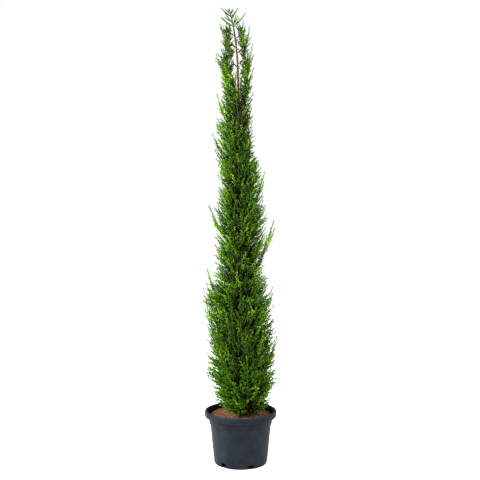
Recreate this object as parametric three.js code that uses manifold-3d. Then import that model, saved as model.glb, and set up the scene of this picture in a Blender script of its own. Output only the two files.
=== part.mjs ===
// A young Italian cypress, about two metres tall, in a round plastic nursery pot.
// Millimetres, +Z up. The origin is the centre of the pot's flat underside.
//
// The trunk runs whole from the soil to the foot of its green tip. Round it the crown is divided
// into spaces: tiers stacked up the trunk, parted by cones that rise outwards, and each tier
// parted into sectors. One bough climbs from the trunk to each space, and one mass of foliage
// fills it: a stem that carries on from the bough, and shoots that branch from the stem by a
// seeded rule, each ending in a forked spray.

import * as THREE from "three";
import { mergeVertices } from "three/addons/utils/BufferGeometryUtils.js";
import Module from "manifold-3d";

const wasm = await Module();
wasm.setup();

// ---------------------------------------------------------------- driving dimensions

// Gap between neighbouring pieces.
const GAP = 0.3;

// Corners closer than this are one, and surfaces are simplified within this.
const WELD_DISTANCE = 0.001;
const SIMPLIFY_DISTANCE = 0.05;

// Pot: a 15 litre nursery container with a rolled rim and a shoulder under it.
const POT_HEIGHT = 238;
const POT_RIM_RADIUS = 166;
const POT_LIP_WIDTH = 12.4;
const POT_LIP_DEPTH = 24;
const POT_NECK_RADIUS = 147;
const POT_NECK_DROP = 36;
const POT_SHOULDER_DROP = 57;
const POT_SHOULDER_RADIUS = 145.5;
const POT_BODY_RADIUS = 141;
const POT_BASE_RADIUS = 122;
const POT_WALL = 3;
const POT_ROUNDING = 3;
const POT_CHAMFER = 2;
const POT_SIDES = 40;
const DRAINS = 6;
const DRAIN_WIDTH = 22.6;
const DRAIN_HEIGHT = 20;
const DRAIN_DEPTH = 12;
const FIRST_DRAIN_ANGLE = -68;

// Soil: a slightly mounded top.
const SOIL_LEVEL = 217;
const SOIL_EDGE_DROP = 6;
const SOIL_FLAT_RADIUS = 70;
const SOIL_SIDES = 24;

// Tree, in heights above the soil.
const TREE_HEIGHT = 1874;
const TRUNK_HEIGHT = 1780;
const FOOT_OFFSET = 38;
const FOOT_BEND_HEIGHT = 280;
const LEAN = 14;
const TIP_BEND = 40;
const TIP_BEND_START = 0.8;
const TIP_BEND_POWER = 2.5;
const SWAY = 7;
const SWAY_ANGLE = 5;
const TRUNK_RADIUS = 12.8;
const TRUNK_TOP_RADIUS = 1.9;
const TRUNK_TAPER = 0.95;
const FLARE = 6;
const FLARE_HEIGHT = 26;
const TRUNK_SIDES = 10;
const TRUNK_RINGS = 18;
const RING_CROWDING = 1.4;

// Crown outline: share of the tree's height, reach to the left, reach to the right.
const OUTLINE = [
  [0.0, 100, 62],
  [0.04, 138, 104],
  [0.11, 158, 146],
  [0.2, 142, 140],
  [0.28, 156, 132],
  [0.38, 98, 96],
  [0.48, 106, 116],
  [0.6, 88, 98],
  [0.68, 106, 66],
  [0.78, 80, 60],
  [0.87, 84, 66],
  [0.93, 62, 60],
  [1.0, 40, 46],
];

// Spaces of the crown. Each tier ends where its top meets the outline at the named height.
const TIERS = [
  { top: 400, masses: 5, turn: -70, spread: 1, shoots: 9, cored: true },
  { top: 790, masses: 5, turn: -106, spread: 1, shoots: 11, cored: true },
  { top: 1180, masses: 4, turn: -60, spread: 1, shoots: 11, cored: true },
  { top: 1560, masses: 4, turn: -105, spread: 1, shoots: 11, cored: true },
  { top: 1710, masses: 2, turn: 0, spread: 0.72, shoots: 12, cored: false },
  { top: 1880, masses: 2, turn: 0, spread: 0.66, shoots: 10, cored: false },
];
const LOW_SLOPE = 2;
const HIGH_SLOPE = 2.7;
const TIP_SLOPE = 0.6;
const SPACE_FLOOR = 10;
const BARE_SHARE = 0.36;
const BARE_MARGIN = 10;
const SPACE_MARGIN = 1.6;
const LONGEST_REACH = 1.5;
const PASSES = 4;

// Boughs and the stems that carry on from them.
const BOUGH_TILT = 32;
const BOUGH_RISE = 0.14;
const BOUGH_SAG = 0.12;
const BOUGH_SHARE = 0.5;
const BOUGH_TIP_SHARE = 0.55;
const BOUGH_SIDES = 5;
const BOUGH_RINGS = 2;
const STEM_RADIUS = 3;
const STEM_TIP_RADIUS = 1.4;
const STEM_SIDES = 4;
const STEM_RINGS = 3;
const STEM_OUT = 0.66;
const STEM_RISE = 0.84;
const STEM_BEND = 0.22;
const TIP_STEM_BEND = 40;
const TIP_STEM_DROP = 2;

// Cores of the dense masses, as shares of their spaces.
const CORE_REACH = 0.71;
const CORE_FOOT_FILL = 0.18;
const CORE_FOOT_HEIGHT = 70;
const CORE_SPREAD = 0.94;
const CORE_FOOT = 0.03;
const CORE_TOP = 0.94;
const CORE_CLEARANCE = 1.2;
const CORE_SQUARENESS = 0.9;
const CORE_LUMPS = 0.04;
const LUMP_WAVE = new THREE.Vector3(3, 4, 5);
const CORE_SIDES = 8;
const CORE_RINGS = 4;

// Shoots and sprays.
const SEED = 1874;
const SHOOT_LENGTH = 140;
const SHORTEST_SHARE = 0.62;
const TIP_SHARE = 0.4;
const TIP_BREADTH = 0.4;
const SHOOT_TILT = 13;
const SHOOT_TILT_RANGE = 22;
const ROOT_REACH = 0.56;
const ROOT_SPREAD = 0.78;
const ROOT_RISE = 0.8;
const TIP_RUN = 0.95;
const STEM_ROOTS = [0.06, 0.94];
const LONGEST_SPRAY = 0.8;
const STALK_CHECKS = [0.35, 0.7];
const UPTURN = 0.25;
const TIP_SCATTER = 0.2;
const OPEN_SCATTER = 0.5;
const SCATTER_MIDDLE = 0.6;
const TWIG_RADIUS = 2.2;
const SPRAY_THICKNESS = 0.12;
const SPRAY_MIDDLE = 0.42;
const MOST_TRIES = 30;

// Steps of an even sequence: round a space and up it.
const SIDE_STEP = 0.7548776662;
const HEIGHT_STEP = 0.569840291;

// Outline of a spray: across and along, as shares of its length. One long tip and two forks.
const SPRAY_OUTLINE = [
  [0.1, 0.24],
  [0.28, 0.74],
  [0.09, 0.56],
  [0, 1],
  [-0.08, 0.6],
  [-0.3, 0.6],
  [-0.09, 0.18],
];

// Single long shoots that stand out of the outline: height of the tip, its side, its reach.
const LONG_SHOOTS = [
  [1874, 180, 36],
  [1870, 180, 19],
  [1874, 8, 42],
  [1848, 352, 70],
  [1832, 180, 50],
  [1794, 4, 78],
  [1720, 20, 84],
  [1666, 180, 98],
  [1480, 180, 100],
  [1296, 180, 122],
  [1181, 24, 94],
  [1125, 9, 123],
  [966, 186, 143],
  [895, 336, 172],
  [857, 345, 149],
  [672, 180, 156],
  [594, 344, 153],
  [550, 178, 174],
  [453, 165, 170],
  [359, 0, 162],
];

// ---------------------------------------------------------------- small helpers

const radians = THREE.MathUtils.degToRad;
const mix = THREE.MathUtils.lerp;

function seededRandom(seed) {
  let state = seed >>> 0;
  return () => {
    state = (state + 0x6d2b79f5) >>> 0;
    let mixed = state;
    mixed = Math.imul(mixed ^ (mixed >>> 15), mixed | 1);
    mixed ^= mixed + Math.imul(mixed ^ (mixed >>> 7), mixed | 61);
    return ((mixed ^ (mixed >>> 14)) >>> 0) / 4294967296;
  };
}

// Column of a table at a place along its first column, eased between the rows.
function tableValue(table, place, column) {
  const last = table.length - 1;
  if (place <= table[0][0]) return table[0][column];
  if (place >= table[last][0]) return table[last][column];
  const row = table.findIndex((entry) => entry[0] > place);
  const [before, after] = [table[row - 1], table[row]];
  const ease = THREE.MathUtils.smoothstep(place, before[0], after[0]);
  return mix(before[column], after[column], ease);
}

// A closed geometry as a solid that can be joined and cut.
function solidOf(geometry) {
  const bare = geometry.clone();
  bare.deleteAttribute("normal");
  bare.deleteAttribute("uv");
  const merged = mergeVertices(bare, WELD_DISTANCE);
  const vertProperties = new Float32Array(merged.attributes.position.array);
  const triVerts = new Uint32Array(merged.index.array);
  return new wasm.Manifold(new wasm.Mesh({ numProp: 3, vertProperties, triVerts }));
}

// The largest body of a joined solid: loose scraps and sealed hollows are left out.
function mainBody(solid) {
  const bodies = solid.decompose();
  return bodies.reduce((best, body) => (body.volume() > best.volume() ? body : best));
}

function geometryOf(solid) {
  const mesh = solid.getMesh();
  const geometry = new THREE.BufferGeometry();
  geometry.setAttribute("position", new THREE.BufferAttribute(mesh.vertProperties, 3));
  geometry.setIndex(new THREE.BufferAttribute(mesh.triVerts, 1));
  geometry.computeVertexNormals();
  return geometry;
}

// A tapering limb along a curve: a closed cylinder bent to the curve's frames.
function limb(curve, radiusAt, sides, rings) {
  const geometry = new THREE.CylinderGeometry(1, 1, 1, sides, rings);
  const frames = curve.computeFrenetFrames(rings);
  const corners = geometry.attributes.position;
  for (let i = 0; i < corners.count; i++) {
    const along = 0.5 - corners.getY(i);
    const ring = Math.round(along * rings);
    const point = curve.getPointAt(ring / rings);
    const radius = radiusAt(ring / rings);
    point.addScaledVector(frames.normals[ring], corners.getX(i) * radius);
    point.addScaledVector(frames.binormals[ring], corners.getZ(i) * radius);
    corners.setXYZ(i, point.x, point.y, point.z);
  }
  return geometry;
}

// ---------------------------------------------------------------- the tree's own shape

const foliage = new THREE.MeshStandardMaterial({ color: 0x4a6e22, roughness: 0.8, metalness: 0 });
const bark = new THREE.MeshStandardMaterial({ color: 0x84563c, roughness: 0.9, metalness: 0 });
const plastic = new THREE.MeshStandardMaterial({ color: 0x3b4045, roughness: 0.5, metalness: 0 });
const peat = new THREE.MeshStandardMaterial({ color: 0x6c503b, roughness: 1, metalness: 0 });

// Centre of the trunk at a height above the soil.
function trunkAxis(height) {
  const share = height / TREE_HEIGHT;
  const bend = Math.max(0, (share - TIP_BEND_START) / (1 - TIP_BEND_START)) ** TIP_BEND_POWER;
  const x = FOOT_OFFSET * Math.exp(-height / FOOT_BEND_HEIGHT) - LEAN * share - TIP_BEND * bend;
  return new THREE.Vector3(x, SWAY * Math.sin(SWAY_ANGLE * share), SOIL_LEVEL + height);
}

function trunkRadius(height) {
  const taper = Math.max(0, 1 - height / TREE_HEIGHT) ** TRUNK_TAPER;
  const flare = FLARE * Math.exp(-height / FLARE_HEIGHT);
  return TRUNK_TOP_RADIUS + (TRUNK_RADIUS - TRUNK_TOP_RADIUS) * taper + flare;
}

// Reach of the crown from the trunk's axis, by height and by side.
function crownReach(height, side) {
  const share = height / TREE_HEIGHT;
  const left = tableValue(OUTLINE, share, 1);
  const right = tableValue(OUTLINE, share, 2);
  return (left + right) / 2 + ((right - left) / 2) * Math.cos(side);
}

// Bare room round the trunk, where only boughs run.
function bareRadius(height) {
  const reach = (tableValue(OUTLINE, height / TREE_HEIGHT, 1)
    + tableValue(OUTLINE, height / TREE_HEIGHT, 2)) / 2;
  return Math.max(BARE_SHARE * reach, trunkRadius(height) + BARE_MARGIN);
}

// A point by height above the soil, side and distance from the trunk's axis.
function crownPoint(height, side, distance) {
  const point = trunkAxis(height);
  point.x += distance * Math.cos(side);
  point.y += distance * Math.sin(side);
  return point;
}

// Height, side and distance of a point.
function placeOf(point) {
  const height = point.z - SOIL_LEVEL;
  const axis = trunkAxis(height);
  const distance = Math.hypot(point.x - axis.x, point.y - axis.y);
  return { height, side: Math.atan2(point.y - axis.y, point.x - axis.x), distance };
}

// ---------------------------------------------------------------- spaces of the crown

// The cone that parts two tiers: height where it leaves the axis, and its rise per distance.
function partingCone(top) {
  const slope = mix(LOW_SLOPE, HIGH_SLOPE, Math.min(1, top / TRUNK_HEIGHT));
  return { foot: top - slope * bareRadius(top) / BARE_SHARE, slope };
}

const FLOOR_CONE = { foot: -TREE_HEIGHT, slope: 0 };
const CEILING_CONE = { foot: 2 * TREE_HEIGHT, slope: 0 };
const TIP_CONE = { foot: TRUNK_HEIGHT, slope: TIP_SLOPE };

// Turn from the middle of a space to a side, between -PI and PI.
function turnFrom(space, side) {
  const turn = side - space.middle;
  return Math.atan2(Math.sin(turn), Math.cos(turn));
}

// Whether a point lies in a space, clear of its bounds.
function inSpace(space, point) {
  const { height, side, distance } = placeOf(point);
  const { floor, ceiling } = space;
  const aboveFloor = (height - floor.foot - floor.slope * distance) / Math.hypot(1, floor.slope);
  const belowCeiling = (ceiling.foot + ceiling.slope * distance - height)
    / Math.hypot(1, ceiling.slope);
  const fromPlane = space.halfWidth - Math.abs(turnFrom(space, side));
  const fromSide = distance * Math.sin(THREE.MathUtils.clamp(fromPlane, -Math.PI / 2, Math.PI / 2));
  return height > SPACE_FLOOR
    && height <= TREE_HEIGHT
    && aboveFloor > SPACE_MARGIN
    && belowCeiling > SPACE_MARGIN
    && (space.whole || fromSide > SPACE_MARGIN)
    && (space.whole || distance > bareRadius(height) + SPACE_MARGIN)
    && distance < LONGEST_REACH * crownReach(height, side);
}

function makeSpaces() {
  const spaces = [];
  let floor = FLOOR_CONE;
  TIERS.forEach((tier, level) => {
    const last = level === TIERS.length - 1;
    const ceiling = last ? TIP_CONE : partingCone(tier.top);
    for (let sector = 0; sector < tier.masses; sector++) {
      spaces.push({
        name: `${level + 1}_${sector + 1}`,
        middle: radians(tier.turn + (360 * sector) / tier.masses),
        halfWidth: (tier.spread * Math.PI) / tier.masses,
        bottom: level ? TIERS[level - 1].top : SPACE_FLOOR,
        top: Math.min(tier.top, TREE_HEIGHT),
        floor,
        ceiling,
        shoots: tier.shoots,
        cored: tier.cored,
        whole: false,
      });
    }
    floor = ceiling;
  });
  spaces.push({
    name: "tip",
    middle: 0,
    halfWidth: Math.PI,
    bottom: TRUNK_HEIGHT,
    top: TREE_HEIGHT,
    floor,
    ceiling: CEILING_CONE,
    shoots: 8,
    cored: false,
    whole: true,
  });
  return spaces;
}

// Height at which a level surface, some share of the way up a space, meets a distance.
function heightInSpace(space, share, distance) {
  const low = Math.max(SPACE_FLOOR, space.floor.foot + space.floor.slope * distance);
  const high = Math.min(TREE_HEIGHT, space.ceiling.foot + space.ceiling.slope * distance);
  return mix(low, high, share);
}

// A point of a space, at a share of its height there and a distance that depends on the height.
function placeInSpace(space, side, share, distanceAt) {
  let height = mix(space.bottom, space.top, share);
  for (let pass = 0; pass < PASSES; pass++) {
    height = heightInSpace(space, share, distanceAt(height, side));
  }
  return crownPoint(height, side, distanceAt(height, side));
}

// ---------------------------------------------------------------- limbs

function makeTrunkSolid(margin) {
  const geometry = new THREE.CylinderGeometry(1, 1, 1, TRUNK_SIDES, TRUNK_RINGS);
  geometry.rotateX(Math.PI / 2);
  const corners = geometry.attributes.position;
  for (let i = 0; i < corners.count; i++) {
    const share = 0.5 + corners.getZ(i);
    const height = GAP + (TRUNK_HEIGHT - GAP) * share ** RING_CROWDING;
    const axis = trunkAxis(height);
    const radius = trunkRadius(height) + margin;
    const x = axis.x + corners.getX(i) * radius;
    corners.setXYZ(i, x, axis.y + corners.getY(i) * radius, axis.z);
  }
  return solidOf(geometry);
}

// Curve of the bough that feeds a space: from the trunk's axis up and out to the bare radius.
function boughCurve(space) {
  const tip = placeInSpace(space, space.middle, BOUGH_RISE, bareRadius);
  const { height, distance } = placeOf(tip);
  const drop = distance / Math.tan(radians(BOUGH_TILT));
  const foot = trunkAxis(Math.max(height - drop, SPACE_FLOOR));
  const middle = foot.clone().lerp(tip, 0.5);
  middle.z -= BOUGH_SAG * drop;
  return new THREE.QuadraticBezierCurve3(foot, middle, tip);
}

// A bough, cut to sit against the trunk.
function makeBoughSolid(space, room) {
  const radius = BOUGH_SHARE * trunkRadius(space.bottom);
  const taper = (share) => radius * mix(1, BOUGH_TIP_SHARE, share);
  return solidOf(limb(boughCurve(space), taper, BOUGH_SIDES, BOUGH_RINGS)).subtract(room);
}

// Curve of the stem that carries a mass: on from its bough's tip, or from the trunk's top.
function stemCurve(space) {
  if (space.whole) {
    const foot = trunkAxis(TRUNK_HEIGHT + 3 * GAP);
    const top = trunkAxis(TREE_HEIGHT - TIP_STEM_DROP);
    return new THREE.QuadraticBezierCurve3(foot, trunkAxis(TRUNK_HEIGHT + TIP_STEM_BEND), top);
  }
  const bough = boughCurve(space);
  const heading = bough.getTangentAt(1);
  const foot = bough.getPointAt(1).addScaledVector(heading, GAP);
  const stemReach = (height, side) => STEM_OUT * crownReach(height, side);
  const end = placeInSpace(space, space.middle, STEM_RISE, stemReach);
  const bend = foot.clone().addScaledVector(heading, STEM_BEND * foot.distanceTo(end));
  return new THREE.QuadraticBezierCurve3(foot, bend, end);
}

// ---------------------------------------------------------------- foliage

// A shoot as one closed body: a three-sided stalk from its root to its spray's base, and the
// spray, a thin blade with a forked outline that is thickest at its middle.
function shootGeometry(shoot) {
  const { root, base, tip, across, length, breadth } = shoot;
  const heading = tip.clone().sub(base).normalize();
  const side = across.clone().addScaledVector(heading, -across.dot(heading)).normalize();
  const face = side.clone().cross(heading);
  const place = (x, y, z) => base.clone()
    .addScaledVector(side, x)
    .addScaledVector(heading, y)
    .addScaledVector(face, z);
  const sunk = root.clone().sub(base);
  const outline = SPRAY_OUTLINE.map(([x, y]) => place(x * breadth, y * length, 0));
  if (breadth < 0) outline.reverse();
  const [right, left, ridge] = [[1, 0], [-1, 0], [0, 1]].map(([x, z]) => (
    place(x * TWIG_RADIUS, 0, z * TWIG_RADIUS)));
  const [rootRight, rootLeft, rootRidge] = [right, left, ridge].map((corner) => (
    corner.clone().add(sunk)));
  const front = place(0, SPRAY_MIDDLE * length, SPRAY_THICKNESS * length / 2);
  const back = place(0, SPRAY_MIDDLE * length, -SPRAY_THICKNESS * length / 2);
  const rim = [right, ...outline, left];
  const points = [];
  for (let i = 1; i < rim.length; i++) {
    points.push(front, rim[i - 1], rim[i], back, rim[i], rim[i - 1]);
  }
  points.push(front, left, ridge, front, ridge, right, back, right, left);
  points.push(right, rootRight, rootLeft, right, rootLeft, left);
  points.push(left, rootLeft, rootRidge, left, rootRidge, ridge);
  points.push(ridge, rootRidge, rootRight, ridge, rootRight, right);
  points.push(rootLeft, rootRight, rootRidge);
  return new THREE.BufferGeometry().setFromPoints(points);
}

// Where a shoot starts: inside the core, or on the stem of a mass that has none.
function shootRoot(space, stem, turn, share) {
  if (!space.cored) return stem.getPointAt(mix(...STEM_ROOTS, share));
  const side = space.middle + ROOT_SPREAD * turn * space.halfWidth;
  const rootReach = (height) => ROOT_REACH * crownReach(height, side);
  return placeInSpace(space, side, 0.5 + ROOT_RISE * (share - 0.5), rootReach);
}

// A shoot from its root to its tip: the stalk leans out, the spray stands more upright.
function makeShoot(space, root, tip, length, hand) {
  const { side } = placeOf(tip);
  const across = new THREE.Vector3(-Math.sin(side), Math.cos(side), 0);
  const heading = tip.clone().sub(root);
  const spray = Math.min(length, LONGEST_SPRAY * heading.length());
  heading.normalize();
  heading.z += UPTURN;
  const base = tip.clone().addScaledVector(heading.normalize(), -spray);
  const breadth = spray * hand * (space.whole ? TIP_BREADTH : 1);
  return { root, base, tip, across, length: spray, breadth };
}

// Whether a shoot keeps to its space, by its twig and the outline of its spray.
function shootFits(space, shoot) {
  const { root, base, tip, across, breadth } = shoot;
  const points = STALK_CHECKS.map((share) => root.clone().lerp(base, share));
  for (const [x, y] of SPRAY_OUTLINE) {
    const point = base.clone().lerp(tip, y);
    points.push(point.addScaledVector(across, x * breadth));
  }
  return points.every((point) => inSpace(space, point));
}

// The shoots of a space: long ones first, then seeded ones spread evenly over its outside.
function growShoots(space, stem, number) {
  const random = seededRandom(SEED + number);
  const longest = SHOOT_LENGTH * (space.whole ? TIP_SHARE : 1);
  const shoots = [];
  for (const [height, degrees, reach] of LONG_SHOOTS) {
    const side = radians(degrees);
    const tip = crownPoint(height, side, reach);
    const run = space.whole ? TIP_RUN * reach : reach - ROOT_REACH * crownReach(height, side);
    const share = (height - run - space.bottom) / (space.top - space.bottom);
    const turn = turnFrom(space, side) / space.halfWidth;
    if (Math.abs(turn) > 1 || share < 0 || share > 1) continue;
    const shoot = makeShoot(space, shootRoot(space, stem, turn, share), tip, longest, 1);
    if (shootFits(space, shoot)) shoots.push(shoot);
  }
  const start = random();
  for (let step = 1; shoots.length < space.shoots && step < MOST_TRIES * space.shoots; step++) {
    const turn = 2 * ((start + step * SIDE_STEP) % 1) - 1;
    const share = (start + step * HEIGHT_STEP) % 1;
    const side = space.middle + turn * space.halfWidth;
    const scatter = 1 + (space.cored ? TIP_SCATTER : OPEN_SCATTER) * (random() - SCATTER_MIDDLE);
    const rise = 1 / Math.tan(radians(SHOOT_TILT + SHOOT_TILT_RANGE * random()));
    const hand = random() < 0.5 ? -1 : 1;
    const root = shootRoot(space, stem, turn, share);
    let tip = root;
    for (let pass = 0; pass < PASSES; pass++) {
      const height = Math.min(TREE_HEIGHT, tip.z - SOIL_LEVEL);
      tip = crownPoint(height, side, scatter * crownReach(height, side));
      tip.z = root.z + rise * Math.hypot(tip.x - root.x, tip.y - root.y);
    }
    const size = longest * mix(SHORTEST_SHARE, 1, random());
    const shoot = makeShoot(space, root, tip, size, hand);
    if (shootFits(space, shoot)) shoots.push(shoot);
  }
  return shoots;
}

// Share of the crown's reach that a core takes up: more near the soil, where the foliage is full.
function coreShare(height) {
  return CORE_REACH + CORE_FOOT_FILL * Math.exp(-height / CORE_FOOT_HEIGHT);
}

// A lumpy core that fills the inside of a space: a sphere bent to the space's own bounds.
function coreGeometry(space, number) {
  const phase = 2 * Math.PI * seededRandom(SEED - number)();
  const geometry = new THREE.SphereGeometry(1, CORE_SIDES, CORE_RINGS);
  const corners = geometry.attributes.position;
  for (let i = 0; i < corners.count; i++) {
    const corner = new THREE.Vector3().fromBufferAttribute(corners, i);
    const widest = Math.max(Math.abs(corner.x), Math.abs(corner.y), Math.abs(corner.z));
    const lump = 1 - CORE_LUMPS * (1 + Math.sin(corner.dot(LUMP_WAVE) + phase));
    corner.multiplyScalar(lump / widest ** CORE_SQUARENESS);
    const side = space.middle + CORE_SPREAD * corner.x * space.halfWidth;
    const share = mix(CORE_FOOT, CORE_TOP, 0.5 + 0.5 * corner.y);
    const distanceAt = (height) => mix(
      CORE_CLEARANCE * bareRadius(height),
      coreShare(height) * crownReach(height, side),
      0.5 + 0.5 * corner.z,
    );
    const point = placeInSpace(space, side, share, distanceAt);
    corners.setXYZ(i, point.x, point.y, point.z);
  }
  return geometry;
}

function makeMassSolid(space, number) {
  const stem = stemCurve(space);
  const stemRadius = (share) => mix(STEM_RADIUS, STEM_TIP_RADIUS, share);
  const pieces = [limb(stem, stemRadius, STEM_SIDES, STEM_RINGS)];
  if (space.cored) pieces.push(coreGeometry(space, number));
  for (const shoot of growShoots(space, stem, number)) {
    pieces.push(shootGeometry(shoot));
  }
  return mainBody(wasm.Manifold.union(pieces.map(solidOf)).simplify(SIMPLIFY_DISTANCE));
}

// ---------------------------------------------------------------- pot and soil

function ringPoints(rows) {
  return rows.map(([radius, height]) => new THREE.Vector2(radius, height));
}

function makePotSolid() {
  const top = POT_HEIGHT;
  const innerLip = POT_RIM_RADIUS - POT_LIP_WIDTH;
  const shell = new THREE.LatheGeometry(ringPoints([
    [0, 0],
    [POT_BASE_RADIUS, 0],
    [POT_BODY_RADIUS, top - POT_SHOULDER_DROP - POT_CHAMFER],
    [POT_SHOULDER_RADIUS, top - POT_SHOULDER_DROP],
    [POT_NECK_RADIUS, top - POT_NECK_DROP],
    [POT_RIM_RADIUS - POT_ROUNDING, top - POT_LIP_DEPTH - POT_ROUNDING],
    [POT_RIM_RADIUS, top - POT_LIP_DEPTH],
    [POT_RIM_RADIUS, top - POT_ROUNDING],
    [POT_RIM_RADIUS - POT_ROUNDING, top],
    [innerLip + POT_CHAMFER, top],
    [innerLip, top - POT_CHAMFER],
    [POT_NECK_RADIUS - POT_WALL, top - POT_NECK_DROP],
    [POT_BODY_RADIUS - POT_WALL, top - POT_SHOULDER_DROP - POT_CHAMFER],
    [POT_BASE_RADIUS - POT_WALL, POT_WALL],
    [0, POT_WALL],
  ]), POT_SIDES);
  shell.rotateX(Math.PI / 2);
  let pot = solidOf(shell);
  for (let drain = 0; drain < DRAINS; drain++) {
    const notch = new THREE.BoxGeometry(2 * DRAIN_DEPTH, DRAIN_WIDTH, 2 * DRAIN_HEIGHT);
    notch.translate(POT_BASE_RADIUS + 1, 0, 0);
    notch.rotateZ(radians(FIRST_DRAIN_ANGLE + (360 * drain) / DRAINS));
    pot = pot.subtract(solidOf(notch));
  }
  return pot;
}

// The root ball: it fills the pot up to the soil's slightly mounded top.
function makeSoilGeometry() {
  const slack = POT_WALL + 2 * GAP;
  const edge = SOIL_LEVEL - SOIL_EDGE_DROP;
  const soil = new THREE.LatheGeometry(ringPoints([
    [0, POT_WALL + GAP],
    [POT_BASE_RADIUS - slack, POT_WALL + GAP],
    [POT_BODY_RADIUS - slack, POT_HEIGHT - POT_SHOULDER_DROP - POT_CHAMFER],
    [POT_NECK_RADIUS - slack, POT_HEIGHT - POT_NECK_DROP],
    [POT_NECK_RADIUS - slack, edge],
    [SOIL_FLAT_RADIUS, SOIL_LEVEL],
    [0, SOIL_LEVEL],
  ]), SOIL_SIDES);
  soil.rotateX(Math.PI / 2);
  return soil;
}

// ---------------------------------------------------------------- the assembly

const tree = new THREE.Group();

function addNode(name, solid, material) {
  const mesh = new THREE.Mesh(geometryOf(solid), material);
  mesh.name = name;
  tree.add(mesh);
}

addNode("pot", makePotSolid(), plastic);
addNode("soil", solidOf(makeSoilGeometry()), peat);
addNode("trunk", makeTrunkSolid(0), bark);

const trunkRoom = makeTrunkSolid(GAP);
makeSpaces().forEach((space, number) => {
  if (!space.whole) addNode(`bough_${space.name}`, makeBoughSolid(space, trunkRoom), bark);
  addNode(`foliage_${space.name}`, makeMassSolid(space, number), foliage);
});

export default tree;
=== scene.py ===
# %% [markdown]
# # A young Italian cypress in a nursery pot
#
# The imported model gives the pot, the soil, the trunk, the boughs and one plain solid for each
# mass of foliage. This script keeps their places and dresses them: a moulded pot, crumbly soil,
# fibrous bark, and sprays of scale leaves that grow by the same rule as the solids.

# %% Load the frame
import math

import bmesh
import bpy
import numpy as np
from mathutils import Matrix, Vector, noise


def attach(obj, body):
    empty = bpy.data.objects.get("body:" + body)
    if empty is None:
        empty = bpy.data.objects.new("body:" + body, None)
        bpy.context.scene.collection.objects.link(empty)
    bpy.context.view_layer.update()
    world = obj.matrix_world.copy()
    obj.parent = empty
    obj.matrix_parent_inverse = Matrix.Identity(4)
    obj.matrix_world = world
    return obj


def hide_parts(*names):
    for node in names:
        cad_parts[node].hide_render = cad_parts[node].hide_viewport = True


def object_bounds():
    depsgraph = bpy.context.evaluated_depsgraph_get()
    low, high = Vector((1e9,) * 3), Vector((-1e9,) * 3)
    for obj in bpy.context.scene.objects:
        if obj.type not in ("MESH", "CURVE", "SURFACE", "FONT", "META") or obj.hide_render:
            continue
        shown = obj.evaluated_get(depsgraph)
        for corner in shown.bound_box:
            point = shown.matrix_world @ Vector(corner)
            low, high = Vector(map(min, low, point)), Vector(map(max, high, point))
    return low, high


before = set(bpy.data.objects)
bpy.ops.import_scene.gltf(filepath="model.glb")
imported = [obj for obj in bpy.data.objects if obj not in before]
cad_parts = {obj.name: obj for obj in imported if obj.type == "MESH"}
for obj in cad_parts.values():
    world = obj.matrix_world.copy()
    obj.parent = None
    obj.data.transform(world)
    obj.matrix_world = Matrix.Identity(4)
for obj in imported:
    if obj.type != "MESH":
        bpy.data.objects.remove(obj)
cad_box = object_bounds()
print("nodes in the frame:", len(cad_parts))

# %% [markdown]
# ## Units and sizes
#
# The frame is in metres. A tree is easier to talk about in millimetres and in heights above the
# soil, so the rules below work in those, and every mesh is scaled once, when it is made.

# %% Units and sizes
MM = 0.001
SOIL_LEVEL = 217
POT_HEIGHT = 238
TREE_HEIGHT = 1874
TRUNK_HEIGHT = 1780

# %% [markdown]
# ## The camera
#
# A tall thin plant is best seen level, from half its height and a few metres off, so that its
# sides stay upright.

# %% Camera
CAMERA_PLACE = (-0.003, -3.07, 1.0215)
CAMERA_LENS = 49.84

camera_data = bpy.data.cameras.new("camera")
camera_data.lens = CAMERA_LENS
camera_data.sensor_width = 36
camera = bpy.data.objects.new("camera", camera_data)
camera.location = CAMERA_PLACE
camera.rotation_euler = (math.radians(90), 0, 0)
bpy.context.collection.objects.link(camera)
bpy.context.scene.camera = camera
bpy.context.scene.view_settings.view_transform = "Standard"
print("camera", camera_data.lens, "mm at", CAMERA_PLACE)

# %% [markdown]
# ## Helpers for colours and materials
#
# Colours are written as sRGB hex values, as a paint shop would give them, and one function turns
# them to the linear values that the renderer wants. Another adds a node, sets it and links it.
# Patterns are sized in millimetres, because grain that is too large makes a thing look like a toy.

# %% Colours and nodes
def colour(code):
    """A hex colour as linear red, green, blue and alpha."""
    parts = [int(code[i:i + 2], 16) / 255 for i in (1, 3, 5)]
    linear = [c / 12.92 if c <= 0.04045 else ((c + 0.055) / 1.055) ** 2.4 for c in parts]
    return (*linear, 1.0)


def add_node(material, kind, inputs, **settings):
    """A node with its settings; each input is a value, or a (node, output) pair to link."""
    node = material.node_tree.nodes.new(kind)
    for name, value in settings.items():
        setattr(node, name, value)
    for name, value in inputs.items():
        if isinstance(value, tuple) and isinstance(value[0], bpy.types.Node):
            material.node_tree.links.new(value[0].outputs[value[1]], node.inputs[name])
        else:
            node.inputs[name].default_value = value
    return node


print("mid grey is", round(colour("#808080")[0], 3), "in linear light")

# %% Materials
def new_material(name, roughness, specular):
    """A material and its shader, ready for a colour and a bump."""
    material = bpy.data.materials.new(name)
    material.use_nodes = True
    shader = material.node_tree.nodes["Principled BSDF"]
    shader.inputs["Roughness"].default_value = roughness
    shader.inputs["Specular IOR Level"].default_value = specular
    return material, shader


def plain_material(name, code, roughness, specular):
    """A material of one base colour, for one kind of many small things."""
    material, shader = new_material(name, roughness, specular)
    shader.inputs["Base Color"].default_value = colour(code)
    return material


def stretched_place(material, stretch):
    """Object coordinates, multiplied along each axis."""
    place = add_node(material, "ShaderNodeTexCoord", {})
    return add_node(material, "ShaderNodeMapping", {"Vector": (place, "Object"), "Scale": stretch})


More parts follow.
